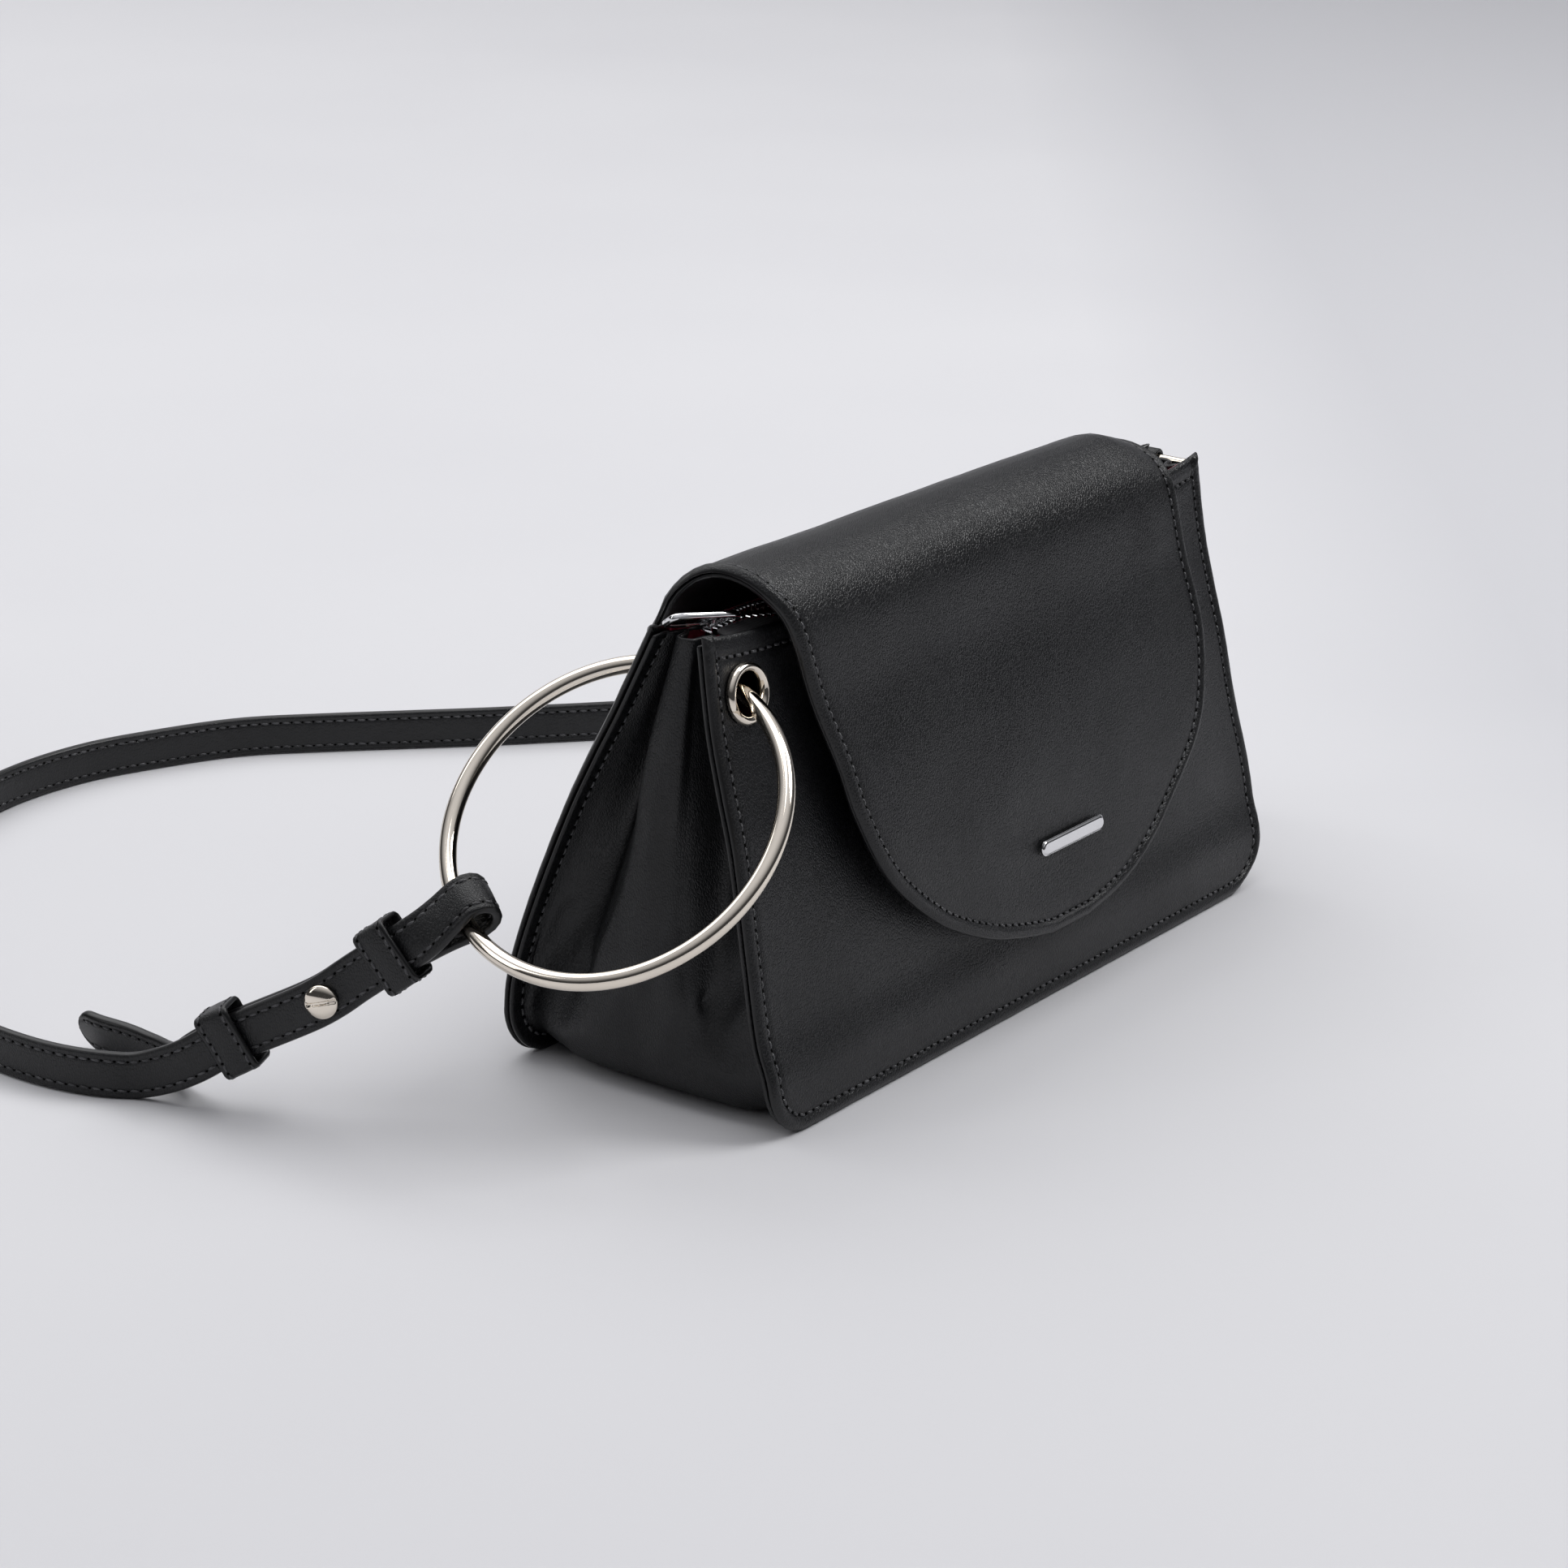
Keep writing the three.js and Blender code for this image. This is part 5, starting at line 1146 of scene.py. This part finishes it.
def tab():
    rim = tab_rim - TAB_WALL / 2
    path = [(-rim, -TAB_HEIGHT + 0.3), (-rim, -TAB_HEIGHT * 0.6), (-rim, -2), (-rim, 0)]
    path += [(rim * math.cos(a), rim * math.sin(a)) for a in np.radians(np.linspace(155, 25, 7))]
    path += [(rim, 0), (rim * 0.8, -rim * 1.2), (-rim + TAB_WALL + 0.2, -2.6 * rim),
             (-rim + TAB_WALL + 0.08, -TAB_HEIGHT * 0.6), (-rim + TAB_WALL + 0.08, -TAB_HEIGHT + 0.3)]
    line = smooth_line([(x, 0, z) for x, z in path], 6)
    centres = d_ring_bar + vec(0, TAB_SHIFT, 0) + line
    tangent, side, up = frames_along(centres, vec(0, 1, 0) + 0 * centres)
    rings = [band_ring(p, u, s, TAB_WIDTH, TAB_WALL, 0.4) for p, s, u in zip(centres, side, up)]
    loft("d_ring_tab", rings, [LEATHER, EDGE], stands_for=("d_ring_tab",))
    x = d_ring_bar[0] - rim + TAB_WALL + 0.08 + TAB_WALL / 2 + 0.02
    y = d_ring_bar[1] + TAB_SHIFT
    z = np.linspace(d_ring_z - TAB_HEIGHT + 1.5, d_ring_z - 8, 12)
    rows = [(np.stack([x + 0 * z, y + dy + 0 * z, z], -1), np.tile(vec(1, 0, 0), (12, 1))) for dy in (-1.5, 1.5)]
    stitches("d_ring_tab_stitches", rows, 2.4, 1.9, 0.28)


d_ring()
tab()

# Strap: its stations follow the CAD band
LAYER_GAP = STRAP_WALL + CLEARANCE
STRAP_REST = STRAP_WIDTH / 2 + CLEARANCE
DOWN = vec(0, 0, -1)


def on_route(row):
    x, y, z = row
    return vec(x * BAG_LENGTH, HALF_DEPTH + y * BAG_LENGTH, max(z * BAG_HEIGHT, STRAP_REST))


def square_to(width, direction):
    return unit(direction - width * np.dot(direction, width))


def make_fold(place, width, toward, hint, wire, reach):
    away = square_to(width, place - toward)
    outer = square_to(width, hint)
    outer = unit(outer - away * np.dot(outer, away))
    return {"centre": place + away * reach, "away": away, "outer": outer, "width": width,
            "radius": wire / 2 + FOLD_SLACK + STRAP_WALL / 2}


fall = [on_route(row) for row in STRAP_FALL]
climb = [on_route(row) for row in STRAP_CLIMB]
ring_tangent = unit(on_ring(RING_HOLD - 1) - on_ring(RING_HOLD + 1))
left = make_fold(on_ring(RING_HOLD), ring_tangent, fall[1], vec(-1, 0, 0), RING_WIRE, RING_FOLD_REACH)
right = make_fold(d_ring_apex, vec(0, -1, 0), climb[-1], vec(1, 0, 0.4), D_RING_WIRE, D_RING_FOLD_REACH)


def fold_start(fold):
    return fold["centre"] + fold["outer"] * fold["radius"]


MAIN = Line(smooth_line([fold_start(left), *fall, *map(on_route, STRAP_ON_FLOOR), *climb, fold_start(right)], 60))
WIDTH_TURNS = [
    (0, ring_tangent), (0.03, vec(0.12, -0.52, -0.85)), (0.085, vec(0.2, -0.45, -0.87)), (0.14, DOWN), (0.8, DOWN),
    (0.9, vec(-0.5, -0.55, -0.4)), (0.93, vec(-0.5, -0.86, 0)), (0.958, vec(-0.5, -0.86, 0)),
    (0.985, vec(-0.15, -0.98, 0)), (1, vec(0, -1, 0)),
]


def station(length):
    at = min(max(length / MAIN.length, 0), 1)
    place, tangent = MAIN.at(at * MAIN.length), MAIN.tangent(at * MAIN.length)
    k = max(next(i for i, row in enumerate(WIDTH_TURNS) if row[0] >= at), 1)
    (t0, w0), (t1, w1) = WIDTH_TURNS[k - 1], WIDTH_TURNS[k]
    width = square_to(tangent, w0 + (w1 - w0) * float(ramp(at, t0, t1)))
    return place, tangent, width, unit(np.cross(tangent, width))


def tail(at, held, sense, spread):
    rows = []
    for length in np.arange(4, held + 0.1, 4):
        place, _, width, normal = station(at(length))
        apart = spread + (LAYER_GAP - spread) * float(ramp(length, 0, FOLD_SETTLE))
        rows.append((place + normal * sense * apart, width))
    return rows


def fold_rows(fold):
    rows = []
    for share in (0.75, 0.5, 0.25, 0, -0.25, -0.5, -0.75, -1):
        a = share * math.pi / 2
        rows.append((fold["centre"] + fold["radius"] * (fold["away"] * math.cos(a) + fold["outer"] * math.sin(a)),
                     fold["width"]))
    return rows


def from_left(length):
    return length


def from_right(length):
    return MAIN.length - length


def sense_of(row, inner):
    return float(np.sign(np.dot(inner - row[0], row[3])))


left_sense = sense_of(station(4), on_ring(RING_HOLD))
right_sense = sense_of(station(MAIN.length - 4), d_ring_apex)
loose_width = unit(vec(0.3, -0.1, -0.95))
left_tail = tail(from_left, LEFT_TAIL_HELD, left_sense, 2 * left["radius"])
left_tail += [(on_route(row), loose_width) for row in STRAP_LOOSE_TIP]
right_tail = tail(from_right, RIGHT_TAIL_HELD, right_sense, 2 * right["radius"])
main_rows = [station(s)[::2] for s in np.linspace(0, MAIN.length, int(MAIN.length / 6))]
BAND = left_tail[::-1] + fold_rows(left)[::-1] + main_rows + fold_rows(right) + right_tail


def strap():
    places = smooth_line([row[0] for row in BAND], 4)
    widths = np.repeat(np.array([row[1] for row in BAND]), 4, axis=0)[: len(places)]
    line = Line(places)
    knots = line.lengths[::4][: len(BAND)]
    widths = unit(np.stack([np.interp(line.lengths, knots, c) for c in np.array([r[1] for r in BAND]).T], -1))
    tip = STRAP_WIDTH / 2 * 1.05
    lengths = np.concatenate([np.array([0, 0.25, 0.7, 1.4, 2.4, 3.6, 4.9]), np.arange(6.5, line.length - 6.5, 1.9),
                              line.length - np.array([4.9, 3.6, 2.4, 1.4, 0.7, 0.25, 0])])
    centres = line.at(lengths)
    tangent = unit(np.gradient(centres, axis=0))
    width = np.stack([np.interp(lengths, line.lengths, c) for c in widths.T], -1)
    normal = unit(np.cross(tangent, width))
    across = np.cross(normal, tangent)
    end = np.minimum(lengths, line.length - lengths)
    narrow = np.sqrt(np.clip(1 - np.clip(1 - end / tip, 0, 1) ** 2.4, 0.02, 1))
    half, thick = STRAP_WIDTH / 2, STRAP_WALL / 2
    side = [(-half + 0.35, 0.86), (-half + 0.9, 0.99), (-half + 1.45, 0.93), (-half + STRAP_INSET, 0.76),
            (-half + 2.35, 0.93), (-half + 3.0, 1.0), (-half + 4.4, 1.04)]
    upper = side + [(0, 1.05)] + [(-w, n) for w, n in side[::-1]]
    section = [(-half, 0.35)] + upper + [(half, 0.35), (half, -0.35)]
    section += [(w, -n) for w, n in upper[::-1]] + [(-half, -0.35)]
    uneven = wrinkle(centres, 30, 0.25, 3.3)
    rings = [[c + w * k * a + n * thick * m for w, n in section]
             for c, a, m, k in zip(centres, across, normal, narrow)]
    rings = np.array(rings) + (uneven[:, None] * normal)[:, None, :] * 0.5
    edge_faces = [1 if abs((section[k][0] + section[(k + 1) % len(section)][0]) / 2) > half - 0.5 else 0
                  for k in range(len(section))]
    loft("strap", rings, [LEATHER, EDGE], slots=edge_faces, stands_for=("strap",))
    rows = []
    inner = (end > 3.2)
    for w in (-half + STRAP_INSET, half - STRAP_INSET):
        for n in (1, -1):
            path = centres + across * w + normal * (n * thick * 0.78) + uneven[:, None] * normal * 0.5
            rows.append((path[inner], (normal * n)[inner]))
    stitches("strap_stitches", rows, 3.3, 2.5, 0.42)


strap()


# Keepers and studs
def held_frame(length, sense):
    place, tangent, _, normal = station(length)
    inward = normal * sense
    return place + inward * LAYER_GAP / 2, tangent, inward


def keeper(name, length, sense):
    """A loop of leather round both layers, sewn along its two edges."""
    middle, tangent, inward = held_frame(length, sense)
    across = unit(np.cross(inward, tangent))
    half_w = (STRAP_WIDTH + KEEPER_SLACK) / 2 + KEEPER_WALL / 2
    half_d = (2 * STRAP_WALL + 3 * CLEARANCE + 1.3) / 2 + KEEPER_WALL / 2
    corner = 1.3
    flat = []
    for cx, cy, start in ((1, 1, 0), (-1, 1, 90), (-1, -1, 180), (1, -1, 270)):
        for a in np.radians(np.linspace(start, start + 90, 6)):
            flat.append((cx * (half_w - corner) + corner * math.cos(a), cy * (half_d - corner) + corner * math.sin(a)))
        nxt = {0: (0, half_d), 90: (-half_w, 0), 180: (0, -half_d), 270: (half_w, 0)}[start]
        if start in (0, 180):
            flat += [(s * (half_w - corner) * (1 if start == 0 else -1), nxt[1]) for s in (0.6, 0.2, -0.2, -0.6)]
    flat = np.array(flat)
    centres = middle + flat[:, :1] * across + flat[:, 1:] * inward
    edge = unit(np.roll(centres, -1, 0) - np.roll(centres, 1, 0))
    out = np.cross(edge, tangent)
    out *= np.sign(np.sum(out * (centres - middle), -1, keepdims=True))
    wall, wide = KEEPER_WALL / 2, KEEPER_LENGTH / 2
    section = [(-wide, 0.3), (-wide + 0.3, 0.8), (-wide + 0.9, 1), (-wide + 1.5, 0.8), (-wide + 2.2, 1.0), (0, 1.08),
               (wide - 2.2, 1.0), (wide - 1.5, 0.8), (wide - 0.9, 1), (wide - 0.3, 0.8), (wide, 0.3), (wide, -0.5),
               (wide - 0.3, -1), (0, -1), (-wide + 0.3, -1), (-wide, -0.5)]
    uneven = wrinkle(centres, 9, 0.3, 1.9)
    rings = [[c + w * tangent + (n * wall + (u if n > 0 else 0)) * o for w, n in section]
             for c, o, u in zip(centres, out, uneven)]
    edges = [1, 1, 0, 0, 0, 0, 0, 0, 0, 1, 1, 1, 0, 0, 1, 1]
    loft(name, rings, [LEATHER, EDGE], closed=True, slots=edges, stands_for=(name,))
    looped = np.vstack([centres, centres[:1]])
    outs = np.vstack([out, out[:1]])
    lift = np.append(uneven, uneven[:1])[:, None]
    rows = [(looped + outs * (wall * 0.82 + lift) + tangent * w, outs) for w in (-wide + 1.5, wide - 1.5)]
    stitches(f"{name}_stitches", rows, 2.7, 2.05, 0.4)


def stud(name, length, sense):
    """A domed screw stud with a slot across it."""
    middle, tangent, inward = held_frame(length, sense)
    outward = -inward
    half = LAYER_GAP / 2 + STRAP_WALL / 2 + CLEARANCE
    across = unit(np.cross(tangent, outward))
    slot_way = unit(tangent + across * 0.35)
    square = np.cross(outward, slot_way)
    radii = np.concatenate([np.linspace(0, 0.86, 26), [0.9, 0.94, 0.97, 0.99, 1.0]]) * STUD_RADIUS
    angles = np.arange(72) * 2 * np.pi / 72
    points, faces = [], []
    for r in radii:
        share = r / STUD_RADIUS
        height = half + STUD_DOME * (0.28 + 0.72 * math.sqrt(max(1 - share ** 2, 0)) ** 1.1)
        for a in angles:
            p = r * (slot_way * math.cos(a) + square * math.sin(a))
            off = abs(np.dot(p, square))
            cut = 0.55 * float(1 - ramp(off, 0.3, 0.5)) * float(1 - ramp(share, 0.86, 0.95))
            points.append(middle + p + outward * (height - cut))
    for r, height in ((1.0, half + 0.05), (0.9, half - 0.05), (STUD_SHANK / STUD_RADIUS, half - 0.05),
                      (STUD_SHANK / STUD_RADIUS, -half), (0.85, -half), (0.85, -half - 0.7), (0.7, -half - 0.85), (0, -half - 0.85)):
        for a in angles:
            points.append(middle + r * STUD_RADIUS * (slot_way * math.cos(a) + square * math.sin(a)) + outward * height)
    rows = len(radii) + 8
    n = len(angles)
    for i in range(rows - 1):
        for k in range(n):
            j = (k + 1) % n
            faces.append((i * n + k, i * n + j, (i + 1) * n + j, (i + 1) * n + k))
    piece(name, points, faces, [GOLD], slot="pale_gold", stands_for=(name,))


for k, length in enumerate(LEFT_KEEPERS):
    keeper(f"keeper_left_{k + 1}", from_left(length), left_sense)
for k, length in enumerate(RIGHT_KEEPERS):
    keeper(f"keeper_right_{k + 1}", from_right(length), right_sense)
stud("stud_left", from_left(LEFT_STUD), left_sense)
stud("stud_right", from_right(RIGHT_STUD), right_sense)


# Floor, backdrop, light and camera
WORLD_LOW, WORLD_HIGH = 0.05, 0.72
# Each soft box: its place and what it faces in millimetres, its sides in metres and its power in watts
LIGHTS = [
    ("right_softbox", (960, -860, 1600), (0, 0, 60), (0.9, 0.9), 20),
    ("top_softbox", (0, 150, 2000), (0, 0, 0), (1.2, 1.2), 7),
    ("far_softbox", (480, 1850, 1900), (480, 1850, 0), (2.6, 2.6), 32),
    ("left_softbox", (-1300, 900, 800), (0, 0, 60), (0.3, 1.0), 1.6),
]


def backdrop():
    """A pale sweep: flat under the bag and rising far behind it, seen from the camera, with painted shade darkening it
    to the right of the bag and far behind it.
    """
    yaw = math.radians(CAMERA_YAW)
    ahead = vec(-math.sin(yaw), math.cos(yaw), 0)
    aside = vec(ahead[1], -ahead[0], 0)
    profile = [(-2600, 0), (-1200, 0), (0, 0), (2100, 0)]
    profile += [(2100 + 900 * math.sin(a), 900 * (1 - math.cos(a))) for a in np.radians(np.linspace(6, 84, 14))]
    profile += [(3040, 1100), (3040, 2600)]
    wide = np.linspace(-3600, 3600, 9)
    rows = [[ahead * s + vec(0, 0, h - 0.02) + aside * w for w in wide] for s, h in profile]
    m, nodes, links, shader, coords = new_material("studio_paper")
    grain = noise_node(nodes, links, coords, 700, 4, 0.7)
    broad = noise_node(nodes, links, coords, 3.5, 2)
    tone = mixed(nodes, links, ranged(nodes, links, broad, 0.3, 0.7, 0, 1), (0.61, 0.608, 0.625), (0.63, 0.628, 0.643))
    turned = nodes.new("ShaderNodeVectorRotate")
    turned.rotation_type = "Z_AXIS"
    turned.inputs["Angle"].default_value = -yaw
    links.new(coords, turned.inputs["Vector"])
    split = nodes.new("ShaderNodeSeparateXYZ")
    links.new(turned.outputs["Vector"], split.inputs[0])
    # Painted shade: the paper's colour is darkened to the right of the bag and far behind it, standing in for the shade
    # that falls there
    shade = nodes.new("ShaderNodeMath")
    shade.operation = "MULTIPLY"
    links.new(ranged(nodes, links, split.outputs["X"], 0.1, 0.22, 0, 1), shade.inputs[0])
    links.new(ranged(nodes, links, split.outputs["Y"], -0.02, 0.25, 0, 1), shade.inputs[1])
    painted_shade = nodes.new("ShaderNodeMix")
    painted_shade.data_type = "RGBA"
    links.new(shade.outputs[0], painted_shade.inputs["Factor"])
    links.new(tone, painted_shade.inputs[6])
    painted_shade.inputs[7].default_value = (0.53, 0.53, 0.55, 1)
    links.new(painted_shade.outputs[2], shader.inputs["Base Color"])
    links.new(bumped(nodes, links, [(grain, 0.12, 0.0002)]), shader.inputs["Normal"])
    shader.inputs["Roughness"].default_value = 0.9
    shader.inputs["Specular IOR Level"].default_value = 0.15
    grid = np.array(rows)
    mesh = bpy.data.meshes.new("studio_floor")
    index = np.arange(grid.shape[0] * grid.shape[1]).reshape(grid.shape[:2])
    faces = np.stack([index[:-1, :-1], index[:-1, 1:], index[1:, 1:], index[1:, :-1]], -1).reshape(-1, 4).tolist()
    mesh.from_pydata((grid.reshape(-1, 3) * MM).tolist(), [], faces)
    mesh.materials.append(m)
    mesh.polygons.foreach_set("use_smooth", [True] * len(mesh.polygons))
    obj = bpy.data.objects.new("studio_floor", mesh)
    bpy.context.scene.collection.objects.link(obj)


def area_light(name, place, target, size, power, color=(1, 1, 1)):
    data = bpy.data.lights.new(name, "AREA")
    data.shape = "RECTANGLE"
    data.size, data.size_y = size
    data.energy, data.color = power, color
    obj = bpy.data.objects.new(name, data)
    bpy.context.scene.collection.objects.link(obj)
    toward = unit(vec(*target) - vec(*place))
    side, other, axis = basis_of(-toward)
    m = Matrix.Identity(4)
    for k, column in enumerate((side, other, axis)):
        for r in range(3):
            m[r][k] = column[r]
    for r in range(3):
        m[r][3] = place[r] * MM
    obj.matrix_world = m


def studio():
    """A dim room that is bright overhead, with soft boxes above the bag and beside it."""
    world = bpy.data.worlds.new("studio")
    world.use_nodes = True
    nodes, links = world.node_tree.nodes, world.node_tree.links
    coords = nodes.new("ShaderNodeTexCoord")
    split = nodes.new("ShaderNodeSeparateXYZ")
    links.new(coords.outputs["Generated"], split.inputs[0])
    height = ranged(nodes, links, split.outputs["Z"], 0.3, 0.9, WORLD_LOW, WORLD_HIGH)
    background = nodes["Background"]
    background.inputs["Color"].default_value = (0.95, 0.955, 1, 1)
    links.new(height, background.inputs["Strength"])
    bpy.context.scene.world = world
    bpy.context.scene.view_settings.view_transform = "Standard"
    for name, place, target, size, power in LIGHTS:
        area_light(name, place, target, size, power)


def camera():
    yaw, pitch, roll = (math.radians(a) for a in (CAMERA_YAW, CAMERA_PITCH, CAMERA_ROLL))
    look = vec(-math.sin(yaw) * math.cos(pitch), math.cos(yaw) * math.cos(pitch), -math.sin(pitch))
    aside = unit(np.cross(look, vec(0, 0, 1)))
    up = np.cross(aside, look)
    x_axis = math.cos(roll) * aside + math.sin(roll) * up
    y_axis = -math.sin(roll) * aside + math.cos(roll) * up
    data = bpy.data.cameras.new("camera")
    data.lens, data.sensor_width = CAMERA_LENS, 36
    data.clip_start, data.clip_end = 0.01, 50
    obj = bpy.data.objects.new("camera", data)
    bpy.context.scene.collection.objects.link(obj)
    m = Matrix.Identity(4)
    for k, column in enumerate((x_axis, y_axis, -look)):
        for r in range(3):
            m[r][k] = column[r]
    for r in range(3):
        m[r][3] = CAMERA_PLACE[r] * MM
    obj.matrix_world = m
    bpy.context.scene.camera = obj


backdrop()
studio()
camera()
